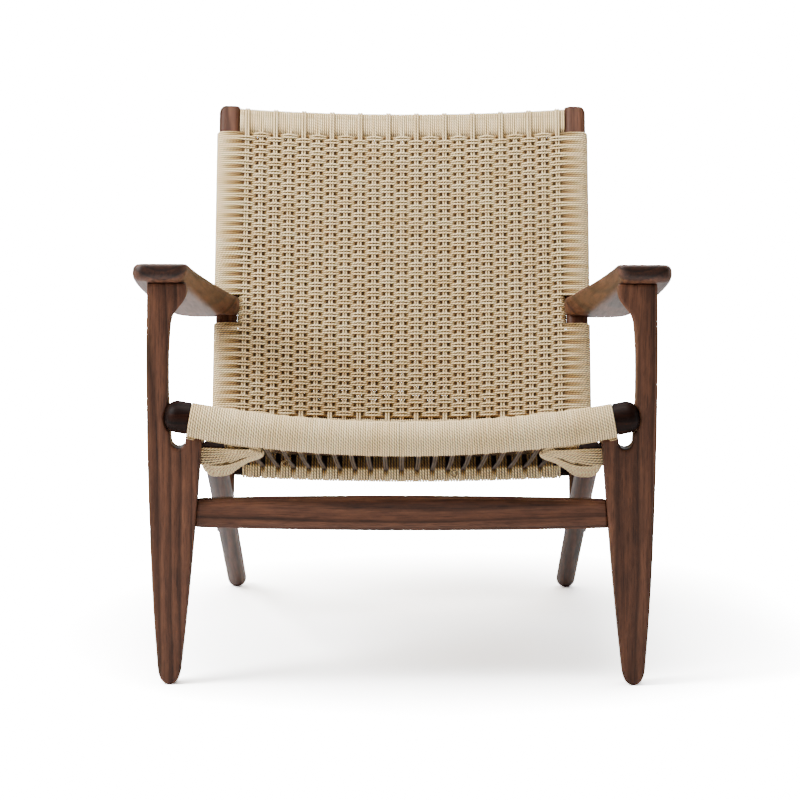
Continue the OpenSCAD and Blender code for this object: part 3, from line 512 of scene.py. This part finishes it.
def armrest_span(y):
    """Heights between which the armrest and its joint keep the post free of cord, at a depth y."""
    under = ARM_UNDER - (y - ARM_FRONT_Y) * math.tan(ARM_FALL)
    return under - 0.0095, under + ARM_DEEP - 0.003


def clear_of_armrest(t):
    _, turn_t, turn_n = post_turn(t, -1)
    p = back_to_world(POST_X, turn_t, turn_n)
    low, high = armrest_span(p[:, 1])
    return bool(np.all(p[:, 2] > high + R) or np.all(p[:, 2] < low - R))


def weft_loop(row, pair):
    """A closed loop from the middle of the rear layer. Its shade rises to 1 over three points of a turn."""
    x, t, n, shade = weft_row(row, pair, -1)
    bx, bt, bn, bshade = weft_row(row, pair, 1)
    end = row_t(row) + pair * R
    rx, rt, rn = post_turn(end, -1) if clear_of_armrest(end) else inner_turn(end)
    half = len(bx) // 2
    xs = np.concatenate([bx[half::-1], -rx[::-1], x, rx, bx[:half - 1:-1]])
    ts = np.concatenate([bt[half::-1], rt, t, rt, bt[:half - 1:-1]])
    ns = np.concatenate([bn[half::-1], rn[::-1], n, rn, bn[:half - 1:-1]])
    place = np.arange(len(rx))
    rise = np.minimum(np.interp(place, [0, 3], [0.35 + 0.65 * shade[-1], 1]),
                      np.interp(place[::-1], [0, 3], [0.35 + 0.65 * bshade[-1], 1]))
    shades = np.concatenate([bshade[half::-1], rise[::-1], shade, rise, bshade[:half - 1:-1]])
    return back_to_world(xs, ts, ns), back_direction(0, 1, 0), shades


def edge_loop(t):
    """A straight cord beside a rail, which closes the weave's last windows."""
    x = np.linspace(-1, 1, 4 * LAST + 1) * (EDGE_X - 0.001)
    inside = LAYER - 0.002
    near, far = bow_at(x, t) - inside, bow_at(x, t) + inside
    xs, ns = np.concatenate([x, x[::-1], x[:1]]), np.concatenate([near, far[::-1], near[:1]])
    points = back_to_world(xs, t, ns)
    # The whole cord gets a painted shade of 0.35, since it lies tucked under the rail's turns.
    return points, back_direction(0, 1, 0), np.full(len(points), 0.35)


# %% The back's weft as pieces
BACK_WEFT_R = 0.00172  # a little over R, which closes gaps between the rows
BACK_LAYERS = ["back_front_weave", "back_rear_weave"]
cord_piece("back_weft_edges", [edge_loop(WEAVE_TOP), edge_loop(WEAVE_BOTTOM)], BACK_LAYERS)
for part, rows in (("upper", range(0, ROWS // 2)), ("lower", range(ROWS // 2, ROWS))):
    for pair, word in ((1, "a"), (-1, "b")):
        cord_piece(f"back_weft_{part}_{word}", [weft_loop(r, pair) for r in rows],
                   BACK_LAYERS + ["post_cord_left", "post_cord_right"], radius=BACK_WEFT_R)

# %% [markdown]
# ## The back's warp
# The warp is the cord that runs up and down. It is put on first, in pairs that turn over both rails. Every
# other pair lies on top of the rails' own turns, and the pairs between lie in a row with them. Thirteen
# cords fill the space of two pairs on the rails, which fixes the places of the turns too.


# %% Warp of the back
SLOT = 2 * COLUMN / 13
WARP_HALF = 0.0019  # distance of a warp cord from the middle of its pair
WARP_WAVE = 0.0010  # how far the warp gives way to the weft
LIFT = CORD * 0.9  # how far a raised pair stands over the rails' turns


def rail_outline(half, offset, lift):
    """Points (t, n) round the front, top and back of a rail's section, from its middle. A raised pair lies
    `lift` higher at the front and the back, and sinks between the turns on the top."""
    a = np.radians(np.linspace(0, 180, 9))
    offset = offset + lift * (0.25 + 0.75 * np.abs(np.cos(a)))
    return half + offset * np.sin(a), -offset * np.cos(a)


def warp_wave(column, rows):
    return -np.cos(math.pi * column) * (-1.0) ** rows


def warp_strand(column, which):
    """A closed strand: over the top rail, down the front, under the lower rail and up behind."""
    x = column * COLUMN + which * WARP_HALF
    raised = column % 2 == 1
    lift = LIFT if raised else 0
    rows = np.arange(ROWS)
    wave = WARP_WAVE * warp_wave(column, rows)
    t = row_t(rows)
    top_t, turn_n = rail_outline(TOP_HALF, RAIL_R + R, lift)
    bottom_t, _ = rail_outline(BOTTOM_HALF, RAIL_R + R, lift)
    on_rail = np.full(len(top_t), x if raised else column * COLUMN + which * SLOT / 2)
    front = (t, bow_at(x, t) - LAYER - wave)
    back = (t[::-1], bow_at(x, t[::-1]) + LAYER + wave[::-1])
    bow = bow_at(x, 0.0)
    top = (-TOP_DROP + top_t, bow + turn_n)
    bottom = (-BOTTOM_DROP - bottom_t[::-1], bow + turn_n[::-1])
    ts = np.concatenate([top[0][::-1], front[0], bottom[0][::-1], back[0], top[0][-1:]])
    ns = np.concatenate([top[1][::-1], front[1], bottom[1][::-1], back[1], top[1][-1:]])
    xs = np.concatenate([on_rail, np.full(ROWS, x), on_rail, np.full(ROWS, x), on_rail[:1]])
    return back_to_world(xs, ts, ns), ACROSS


columns = range(-LAST, LAST + 1)
cord_piece("back_warp", [warp_strand(c, w) for c in columns for w in (-1, 1)])


# %% [markdown]
# ## Turns on the back's rails
# Between the warp's places, the rails are covered with single turns of cord, side by side. A helix would
# be true to the winding, but its slant leaves slits beside the warp. The eye reads closed rings as turns
# all the same, so each turn is a ring round the rail's section, which is a half circle at the top and at
# the bottom.


# %% Turns round the back's rails
def rail_turn(x, drop, half, sign):
    """A ring round a rail: its outer half circle, then its inner one, and a little past its start."""
    outer = np.concatenate([[0], np.linspace(8, 172, 11), [180]])
    a = np.radians(np.concatenate([outer, [180], np.linspace(188, 352, 11), [360, 368]]))
    shift = np.full(len(a), -half)
    shift[:len(outer)] = shift[-1] = half
    t = sign * (shift + (RAIL_R + R) * np.sin(a))
    n = -(RAIL_R + R) * np.cos(a)
    return back_to_world(x, -drop + t, rail_bow(x) + n), ACROSS


def slots(width, limit, last, pitch):
    """Places of single turns between -limit and limit. Each group of columns is `width` wide. The two places
    nearest to its middle belong to the warp, up to the warp's last group."""
    per_group = round(width / pitch)
    count = int((limit - R) / pitch - 0.5)
    near = [(i + 0.5 if per_group % 2 else i) for i in range(-count - 1, count + 1)]
    return [i * pitch for i in near if abs(i * pitch) < limit - R
            and (min(i % per_group, per_group - i % per_group) > 0.6 or abs(i) > last * per_group + 0.6)]


rail_places = slots(2 * COLUMN, EDGE_X - 0.0015, LAST / 2, SLOT) + [R - EDGE_X, EDGE_X - R]
cord_piece("top_rail_turns", [rail_turn(x, TOP_DROP, TOP_HALF, 1) for x in rail_places], ["top_rail_cord"])
cord_piece("bottom_rail_turns", [rail_turn(x, BOTTOM_DROP, BOTTOM_HALF, -1) for x in rail_places],
           ["bottom_rail_cord"])

# %% [markdown]
# ## The seat
# The seat hangs between a sagging front rail and a lower rear rail, so its surface is slung in two ways. A
# flat plane would miss the rails at their ends. A point of the seat is therefore given by x, by v, which
# runs from the front rail's axis to the rear one's, and by its height above the layer, and lies between
# the two rails' own curves. These are arcs, worked out from the boxes of the cord round them.


# %% The seat's own space
front_lo, front_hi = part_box("front_rail_cord")
rear_lo, rear_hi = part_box("rear_rail_cord")
front_mid, rear_mid = middle("front_rail_cord"), middle("rear_rail_cord")
FRONT_R = (front_hi.y - front_lo.y) / 2 - CORD
REAR_R = 0.0175  # the rear rail's radius
SEAT_SLOPE = math.radians(14.8)
SEAT_COLUMN = 0.0223  # distance between the seat's warp pairs
SEAT_SLOT = SEAT_COLUMN / 7
SEAT_LAST = 10


def sagging_axis(lo, hi, radius, half):
    """Height of a sagging rail's axis at x, from the box of the cord round it."""
    low = lo.z + radius + CORD
    rise = hi.z - radius - CORD - low
    bend = (half ** 2 + rise ** 2) / (2 * rise)
    return lambda x: low + bend - np.sqrt(bend ** 2 - np.asarray(x, float) ** 2)


front_axis = sagging_axis(front_lo, front_hi, FRONT_R, front_hi.x)
rear_axis = sagging_axis(rear_lo, rear_hi, REAR_R, rear_hi.x)
SIDE_X = middle("seat_side_rail_right").x
SIDE_R = (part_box("seat_side_rail_right")[1].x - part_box("seat_side_rail_right")[0].x) / 2
SIDE_TOP_Z = 0.3533  # height of a side rail's axis at the front rail


def seat_point(x, v, h):
    """A point of the seat's upper layer, h above its middle."""
    x, v, h = np.broadcast_arrays(x, v, h)
    z = front_axis(x) * (1 - v) + rear_axis(x) * v
    lift = (FRONT_R * (1 - v) + REAR_R * v + R) / math.cos(SEAT_SLOPE)
    y = front_mid.y + (rear_mid.y - front_mid.y) * v
    return np.stack([x, y + h * math.sin(SEAT_SLOPE), z + lift + h * math.cos(SEAT_SLOPE)], -1)


SEAT_DEEP = rear_mid.y - front_mid.y
SEAT_ROWS = round((SEAT_DEEP - FRONT_R * 0.9 - REAR_R * 0.9) / PAIR) + 2
V_FIRST = (FRONT_R * 0.62) / SEAT_DEEP
V_LAST = 1 - (REAR_R * 0.35) / SEAT_DEEP
print("seat:", SEAT_ROWS, "rows of paired cord")


# %% Axes of the side rails and the rear legs
LEG_R = 0.0155  # a rear leg's radius at its front end
LEG_TOP_Y, LEG_TOP_Z = -0.30598, 0.312
LEG_FOOT_Y, LEG_FOOT_Z = 0.325, 0.0134
LEG_SLOPE = (LEG_TOP_Z - LEG_FOOT_Z) / (LEG_FOOT_Y - LEG_TOP_Y)
CORNER_START, CORNER_END = -0.3035, -0.261  # where the cord holds side rail and rear leg together


def side_axis(y):
    return SIDE_TOP_Z - (y - front_mid.y) * math.tan(SEAT_SLOPE)


def rear_leg_axis(y):
    return LEG_TOP_Z - (y - LEG_TOP_Y) * LEG_SLOPE


# %% [markdown]
# ## The seat's weft
# The seat is woven as the back is, but in one layer: its weft turns round the side rails. At the front
# corners the turns go round side rail and rear leg together, because the two lie close there, and farther
# back round the side rail alone. So a turn is a circle round the side rail whose lower half is stretched
# down to the leg where it has to be. The pairs lie close, so that less of the floor shows between the rows.


# %% Weft of the seat
SEAT_LENS = 0.0002  # how much farther apart the cords of a pair lie on top
SEAT_WEFT_R = 0.00175  # a little over R, as in the back


def side_turn(y, y_end):
    """Points from the top of the right-hand side rail round its outside and up its inside."""
    count = 15
    a = np.radians(np.linspace(80, -250, count))
    reach = SIDE_R + R
    x = SIDE_X + reach * np.cos(a)
    z = side_axis(y) + reach * np.sin(a) / math.cos(SEAT_SLOPE)
    if CORNER_START <= y <= CORNER_END:
        drop = side_axis(y) - rear_leg_axis(y) + LEG_R * 1.1 - SIDE_R
        z = np.where(np.sin(a) < 0, z - drop * smooth(-2 * np.sin(a)), z)
        x = np.where(np.sin(a) < 0, SIDE_X + (LEG_R + R) * np.cos(a), x)
    return np.stack([x, np.linspace(y, y_end, count), z], -1)


def seat_row_v(row):
    return V_FIRST + (V_LAST - V_FIRST) * (row + 0.5) / SEAT_ROWS


def seat_weft(row, pair):
    """A strand round one side rail, across the seat and round the other side rail."""
    x = np.linspace(-SEAT_LAST - 0.35, SEAT_LAST + 0.35, 2 * SEAT_LAST * STEPS + 5) * SEAT_COLUMN
    wave = weft_wave(x, SEAT_COLUMN, row)
    v = seat_row_v(row) + pair * pair_offset(wave, SEAT_LENS) / SEAT_DEEP
    points = seat_point(x, v, WAVE * wave)
    y = front_mid.y + SEAT_DEEP * (seat_row_v(row) + pair * R / SEAT_DEEP)
    turn = side_turn(y, y + 0.4 * CORD)
    mirrored = turn[::-1] * (-1, 1, 1)
    shades = np.concatenate([np.ones(len(turn)), weft_shade(wave), np.ones(len(turn))])
    return np.concatenate([mirrored, points, turn]), TO_REAR, shades


front_rows, rear_rows = range(SEAT_ROWS // 2), range(SEAT_ROWS // 2, SEAT_ROWS)
cord_piece("seat_weft_front", [seat_weft(r, p) for r in front_rows for p in (1, -1)],
           ["seat_upper_weave", "side_rail_cord_left", "side_rail_cord_right"], radius=SEAT_WEFT_R)
cord_piece("seat_weft_rear", [seat_weft(r, p) for r in rear_rows for p in (1, -1)],
           ["seat_upper_weave"], radius=SEAT_WEFT_R)


# %% [markdown]
# ## The seat's warp
# Each warp cord lies under and over the weft rows, turns down round the front rail and returns below as an
# under cord, which sags a little and ends at the rear rail. Only the outermost pairs have no under cords.
# Little light reaches the hollow between the layers, less than this studio's soft light would show, so the
# under cords get a low shade.


# %% Warp of the seat
UNDER_SAG = 0.002
UNDER_FALL = 0.2325  # slope of the under cords
UNDER_POINTS = 10
UNDER_SHADES = (0.10, 0.07)  # at the front and at the rear
REAR_WARP_HALF = 0.0016  # distance of a warp cord from the middle of its pair on the rear rail


def tilt_at(axis, x):
    """How steeply a sagging rail's axis rises at x."""
    return (axis(x + 0.001) - axis(x - 0.001)) / 0.002


def rail_arc(x, mid, axis, reach, a):
    """Points at the angles `a` round a rail that runs along X, as far as `reach` from its axis."""
    return np.stack(np.broadcast_arrays(x, mid.y + reach * np.cos(a), axis(x) + reach * np.sin(a)), -1)


def seat_warp(column, which):
    x = column * SEAT_COLUMN + which * SEAT_SLOT * 0.5
    rows = np.arange(SEAT_ROWS)
    upper = seat_point(np.full(SEAT_ROWS, x), seat_row_v(rows), -WARP_WAVE * warp_wave(column, rows))
    a = np.radians(np.linspace(80, 272, 11))
    front = rail_arc(x, front_mid, front_axis, FRONT_R + R, a)
    front[:, 0] -= (FRONT_R + R) * np.sin(a) * tilt_at(front_axis, x)
    a = np.radians(np.linspace(85, -184, 14))
    rear = rail_arc(column * SEAT_COLUMN + which * REAR_WARP_HALF, rear_mid, rear_axis, REAR_R + R, a)
    if abs(column) == SEAT_LAST:
        return np.concatenate([rear[::-1], upper[::-1], front]), ACROSS
    under = np.linspace(front[-1], rear[-1], UNDER_POINTS + 2)[1:-1]
    under[:, 2] -= UNDER_SAG * np.sin(np.linspace(0, math.pi, UNDER_POINTS))
    points = np.concatenate([rear[::-1], upper[::-1], front, under, rear[-1:]])
    # Painted shade: low where the warp leaves the rear rail into the seat's hollow, and low along its under
    # cords.
    shades = np.concatenate([[0.05, 0.6], np.ones(len(rear) - 2 + len(upper) + len(front)),
                             np.linspace(*UNDER_SHADES, UNDER_POINTS), [0.05]])
    return points, ACROSS, shades


seat_columns = range(-SEAT_LAST, SEAT_LAST + 1)
cord_piece("seat_warp", [seat_warp(c, w) for c in seat_columns for w in (-1, 1)], ["seat_under_cords"])


# %% [markdown]
# ## Turns on the seat's rails
# Turns of cord cover the whole front rail between its bare ends. Except at the middle pair, they also fill
# the warp's places: in front they coincide with it, and behind they cover the rail. The rear rail has four
# in each gap, spread out and drawn a little thicker. As on the back, they are rings with hardly any slant.
# A ring stands square to the sagging rail, so its top leans towards the middle.


# %% Turns round the seat's front and rear rails
TURN_ANGLES = np.radians(np.linspace(90, 455, 25))
SLANT = np.linspace(-0.12, 0.12, len(TURN_ANGLES))  # of a turn, in turns


def level_turn(x, mid, axis, radius, pitch, hollow=1.0):
    """A turn round a rail. `hollow` is the shade of its upper front, inside the seat's hollow."""
    a, reach = TURN_ANGLES, radius + R
    points = rail_arc(x, mid, axis, reach, a)
    points[:, 0] += pitch * SLANT - reach * np.sin(a) * tilt_at(axis, x)
    return points, ACROSS, np.where((np.cos(a) < -0.1) & (np.sin(a) > -0.02), hollow, 1.0)


FRONT_END = front_hi.x - 0.0034
front_places = slots(SEAT_COLUMN, FRONT_END, 0.6, SEAT_SLOT)  # only the middle pair's places stay free
cord_piece("front_rail_turns",
           [level_turn(x, front_mid, front_axis, FRONT_R, SEAT_SLOT) for x in front_places],
           ["front_rail_cord"], sides=8)
# The last value is a painted shade for the upper front of the rear rail's turns, which lies in the shadow
# inside the seat's hollow.
REAR_PITCH, REAR_TURN_R, REAR_HOLLOW_SHADE = 0.0040, 0.0019, 0.22
rear_places = [(c + 0.5) * SEAT_COLUMN + k * REAR_PITCH for c in range(-SEAT_LAST - 1, SEAT_LAST + 1)
               for k in (-1.5, -0.5, 0.5, 1.5)]
cord_piece("rear_rail_turns", [level_turn(x, rear_mid, rear_axis, REAR_R, REAR_PITCH, REAR_HOLLOW_SHADE)
                               for x in rear_places if abs(x) < rear_hi.x - R],
           ["rear_rail_cord"], radius=REAR_TURN_R)

# %% [markdown]
# ## Front corners
# At each front corner the cord is wound tightly round side rail and rear leg, in one layer with the ends of
# the weft rows, and passes through them where they differ. Then its strands gather in one rounded point
# under the seat and turn back, which makes a small fan. Lofting one solid would hide how it is made. So
# each of its twenty strands is a curve of its own: the first ones pass in front of the rear leg, the others
# come from under it, and all turn back in a hook at the fan's tip.


# %% Corner turns and fans
def corner_turn(y, side):
    top, low = side_axis(y), rear_leg_axis(y)
    a = TURN_ANGLES
    up = np.sin(a) >= 0
    reach = np.where(up, SIDE_R, LEG_R) + R
    z = np.where(up, top, low) + reach * np.sin(a) * np.where(up, 1.03, 1.1)
    ys = y + CORD * np.linspace(-0.5, 0.5, len(a))
    return np.stack([side * (SIDE_X + reach * np.cos(a)), ys, z], -1), TO_REAR


FAN, FAN_FRONT = 20, 7  # cords in a fan, and how many of them pass in front of the rear leg
FAN_START = (SIDE_X + 0.0185, -0.3077, 0.3146)  # of the first cord, hidden in the leg's ear
TIP_X, TIP_Y, TIP_Z = 0.188, -0.3072, 0.3122  # the farthest tip's X, and the first tip's Y and Z
TIP_ROUND, TIP_BACK, TIP_DROP = 0.022, 0.030, 0.0185  # how far the tips curve in X, and go back and down
HOOK_R = 0.0030  # of the bend in which a cord turns back at the tip


def fan_tip(k):
    """Where the k-th cord of the fan turns back."""
    share = k / (FAN - 1)
    return np.array([TIP_X + TIP_ROUND * (1 - math.sin(math.pi * (0.08 + 0.80 * share))),
                     TIP_Y + TIP_BACK * share, TIP_Z - TIP_DROP * share])


def bezier(ctrl, count):
    """Points on a cubic curve with four control points."""
    u = np.linspace(0, 1, count)[:, None]
    return ((1 - u) ** 3 * ctrl[0] + 3 * (1 - u) ** 2 * u * ctrl[1] + 3 * (1 - u) * u ** 2 * ctrl[2]
            + u ** 3 * ctrl[3])


def fan_strand(k, side):
    """From outside the rear leg to the tip, round the hook and back towards the leg."""
    tip = fan_tip(k)
    if k < FAN_FRONT:
        start = np.array([FAN_START]) - (0, 0, 0.0034 * k)
        entry = start[-1] - (0.025, 0, 0.0004 * k)
    else:
        y = CORNER_START + 0.001 + (CORNER_END - CORNER_START) * (k - FAN_FRONT) / (FAN - FAN_FRONT - 1)
        z, reach = rear_leg_axis(y), LEG_R + R + CORD * 0.3
        start = np.array([(SIDE_X + reach * math.cos(a), y, z + reach * 1.1 * math.sin(a))
                          for a in np.radians(np.linspace(15, -100, 9))])
        entry = start[-1] - (0.024, 0, 0.0015)
    to_tip = bezier([start[-1], entry, tip + (0.022, 0, (start[-1][2] - tip[2]) * 0.25), tip], 16)
    b = np.radians(np.linspace(-60, 90, 6))
    hook = np.stack(np.broadcast_arrays(tip[0] - HOOK_R * np.cos(b), tip[1] + 0.001,
                                        tip[2] + HOOK_R + HOOK_R * np.sin(b)), -1)
    home = np.array([SIDE_X - LEG_R - 0.002, max(tip[1], -0.300), tip[2] + 0.006])
    back = np.linspace(hook[-1] + (0, 0.002, 0), home, 6)[1:]
    outward = UP if k < FAN_FRONT else (0.0, 0.6, -0.8)
    return np.concatenate([start, to_tip[1:], hook, back]) * (side, 1, 1), outward


def rail_lead(side):
    """The cord that leaves the end of the front rail and runs along the rail's underside to the fan."""
    x = np.linspace(0.2825, 0.196, 20)
    y = front_mid.y - 0.010 + 0.016 * smooth((0.283 - x) / 0.02)
    z = front_axis(x) - np.sqrt((FRONT_R + CORD + R) ** 2 - (y - front_mid.y) ** 2)
    return np.stack([side * x, y, z], -1), TO_REAR


def knot(x, y):
    """The knotted end of a cord, which hangs under the under cords."""
    a, loop = np.linspace(0, 2.6 * math.pi, 26), 0.0042
    z = front_axis(x) - FRONT_R - CORD - UNDER_FALL * (y - front_mid.y) - 0.003
    points = np.stack([x + loop * np.cos(a), y + 0.0035 * np.sin(2 * a), z - loop + loop * np.sin(a)], -1)
    return points, TO_REAR


# %% Corners, fans and knots as pieces
corner_ys = np.arange(CORNER_START + R, CORNER_END - R / 2, CORD)
for side, word in ((-1, "left"), (1, "right")):
    cord_piece("corner_turns_" + word, [corner_turn(y, side) for y in corner_ys], ["corner_cord_" + word])
    cord_piece("corner_fan_" + word, [fan_strand(k, side) for k in range(FAN)] + [rail_lead(side)], sides=8)
cord_piece("seat_knots", [knot(-0.1606, -0.16), knot(0.0729, -0.063)], radius=0.0013, sides=8)

# %% [markdown]
# ## Wooden parts
# The front legs, armrests and stretcher are sculpted and sanded soft at every edge. A bevel would have to
# follow the long thin triangles of their curved faces. So a copy of the frame's solid is remeshed in small
# even faces and smoothed, which rounds the edges as sanding does and leaves the broad faces where they
# are. Posts, rear legs and rails are rounded in the frame, so its own parts stay and only get their wood.


# %% Softened copies of the frame's solids
def softened(node, voxel, passes):
    bm = bmesh.new()
    bm.from_mesh(nodes[node].data)
    bmesh.ops.remove_doubles(bm, verts=bm.verts, dist=0.00002)
    mesh = bpy.data.meshes.new(node + "_soft")
    bm.to_mesh(mesh)
    bm.free()
    obj = bpy.data.objects.new(node + "_soft", mesh)
    bpy.context.scene.collection.objects.link(obj)
    remesh = obj.modifiers.new("even", "REMESH")
    remesh.mode = "VOXEL"
    remesh.voxel_size = voxel
    sanded = obj.modifiers.new("sanded", "SMOOTH")
    sanded.factor = 0.5
    sanded.iterations = passes
    bpy.context.view_layer.update()
    done = bpy.data.meshes.new_from_object(obj.evaluated_get(bpy.context.evaluated_depsgraph_get()))
    obj.modifiers.clear()
    obj.data = done
    done.name = node + "_soft"
    done.shade_smooth()
    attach(obj, "root")
    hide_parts(node)
    print(obj.name, len(done.polygons), "faces")
    return obj


def paint(obj, material):
    obj.data.materials.clear()
    obj.data.materials.append(material)


# %% Walnut for every wooden part
POST_WAY = (0, SIN, COS)
ARM_WAY = (0, math.cos(ARM_FALL), -math.sin(ARM_FALL))
REAR_LEG_WAY = tuple(Vector((0, LEG_FOOT_Y - LEG_TOP_Y, LEG_FOOT_Z - LEG_TOP_Z)).normalized())
LEG_TINT, RAIL_TINT = (0.72, 0.7, 0.7), (0.13, 0.09, 0.075)  # the rails' bare ends are nearly black
for side, word in ((-1, "left"), (1, "right")):
    paint(softened("front_leg_" + word, 0.0016, 14),
          walnut("walnut_front_leg_" + word, UP, (-side * 0.32 + 0.02, 0.37, 0.1), 1.0 + side))
    paint(softened("armrest_" + word, 0.0018, 8),
          walnut("walnut_armrest_" + word, ARM_WAY, (-side * 0.31, 0.52, 0.3), 3.0 + side, polish=0.30))
    paint(nodes["back_post_" + word],
          walnut("walnut_post_" + word, POST_WAY, (-side * 0.29, 0.08, 0.2), 5.0 + side))
    paint(nodes["rear_leg_" + word],
          walnut("walnut_rear_leg_" + word, REAR_LEG_WAY, (-side * 0.28, 0.1, 0.4), 7.0 + side, LEG_TINT))
    paint(nodes["seat_side_rail_" + word],
          walnut("walnut_side_rail_" + word, TO_REAR, (0.3, 0.4, 0), 9.0))
paint(softened("front_stretcher", 0.0016, 10),
      walnut("walnut_stretcher", ACROSS, (0.25, 0.36, 0.1), 11.0))
dark_rail = walnut("walnut_rail", ACROSS, (0.38, 0.36, 0.1), 12.0, RAIL_TINT, 0.09)
for name in ("seat_front_rail", "seat_rear_rail", "back_top_rail", "back_bottom_rail",
             "rail_dowels", "armrest_front_dowels", "armrest_rear_dowels"):
    paint(nodes[name], dark_rail)

# %% [markdown]
# ## Studio
# The chair stands in a white studio where floor and wall run into each other. A white world alone would
# light it flat from everywhere. So the world is bright behind and dim on the side of the camera, where the
# round ends of the rail keep dark middles. A large light hangs overhead, a smaller one at the upper left
# makes the soft shadow, and a weak one fills from the front. Floor and sky are whiter to the camera than
# to the light that they throw on the chair.


# %% Camera, floor and lights
FLOOR_NEAR, FLOOR_FAR = 4.5, 26.0  # how bright the floor looks under the chair and far from it
FLOOR_WHITE, SKY_WHITE = 0.85, 30.0
WORLD_FRONT, WORLD_BACK = 0.06, 1.7  # how much light comes from the camera's side and from behind


def make_camera(place, tilt, roll, lens):
    data = bpy.data.cameras.new("camera")
    data.lens = lens
    data.sensor_width = 36
    obj = bpy.data.objects.new("camera", data)
    obj.location = place
    aim = Matrix.Rotation(math.radians(tilt), 3, "X") @ Matrix.Rotation(math.radians(roll), 3, "Z")
    obj.rotation_euler = aim.to_euler()
    bpy.context.scene.collection.objects.link(obj)
    bpy.context.scene.camera = obj


def area_light(name, place, target, size, power):
    data = bpy.data.lights.new(name, "AREA")
    data.shape = "RECTANGLE"
    data.size, data.size_y = size
    data.energy = power
    obj = bpy.data.objects.new(name, data)
    obj.location = place
    obj.rotation_euler = (Vector(target) - Vector(place)).to_track_quat("-Z", "Y").to_euler()
    bpy.context.scene.collection.objects.link(obj)


def make_floor():
    """A white floor that grows brighter away from the chair, until it meets the white sky."""
    bm = bmesh.new()
    bmesh.ops.create_grid(bm, x_segments=1, y_segments=1, size=15)
    mesh = bpy.data.meshes.new("floor")
    bm.to_mesh(mesh)
    bm.free()
    floor = bpy.data.objects.new("floor", mesh)
    bpy.context.scene.collection.objects.link(floor)
    material, tree, shader = new_material("floor_white")
    place = add(tree, "TexCoord").outputs["Object"]
    distance = add(tree, "VectorMath", None, {0: place}, operation="LENGTH").outputs["Value"]
    glow = add(tree, "MapRange",
               {"From Min": 0.3, "From Max": 1.3, "To Min": FLOOR_NEAR, "To Max": FLOOR_FAR},
               {"Value": distance}, interpolation_type="SMOOTHSTEP")
    ray = add(tree, "LightPath").outputs["Is Camera Ray"]
    level = add(tree, "Mix", {2: FLOOR_WHITE}, {0: ray, 3: glow.outputs[0]})
    diffuse = add(tree, "BsdfDiffuse")
    tree.links.new(level.outputs[0], diffuse.inputs["Color"])
    tree.links.new(diffuse.outputs[0], tree.nodes["Material Output"].inputs["Surface"])
    tree.nodes.remove(shader)
    mesh.materials.append(material)


def make_world():
    """A white room that is bright behind and above, and dim on the side of the camera."""
    world = bpy.data.worlds.new("studio")
    world.use_nodes = True
    tree = world.node_tree
    background = tree.nodes["Background"]
    background.inputs["Color"].default_value = (1, 1, 1, 1)
    parts = add(tree, "SeparateXYZ", None, {0: add(tree, "TexCoord").outputs["Generated"]})
    strength = add(tree, "MapRange",
                   {"From Min": -0.25, "From Max": 0.5, "To Min": WORLD_FRONT, "To Max": WORLD_BACK},
                   {"Value": parts.outputs["Y"]}, interpolation_type="SMOOTHSTEP")
    ray = add(tree, "LightPath").outputs["Is Camera Ray"]
    level = add(tree, "Mix", {3: SKY_WHITE}, {0: ray, 2: strength.outputs[0]})
    tree.links.new(level.outputs[0], background.inputs["Strength"])
    bpy.context.scene.world = world


# %% The studio is set up
make_camera((-0.0026, -4.84, 1.052), 81.57, 0.12, 155.5)
make_floor()
make_world()
area_light("overhead", (-0.1, -0.3, 2.7), (0, 0.1, 0.35), (1.8, 1.4), 84)
area_light("upper_left", (-1.7, -0.8, 1.7), (0, 0.1, 0.4), (1.0, 1.2), 82)
area_light("front_left", (-2.4, -2.8, 1.6), (0, 0, 0.4), (1.6, 1.6), 6)
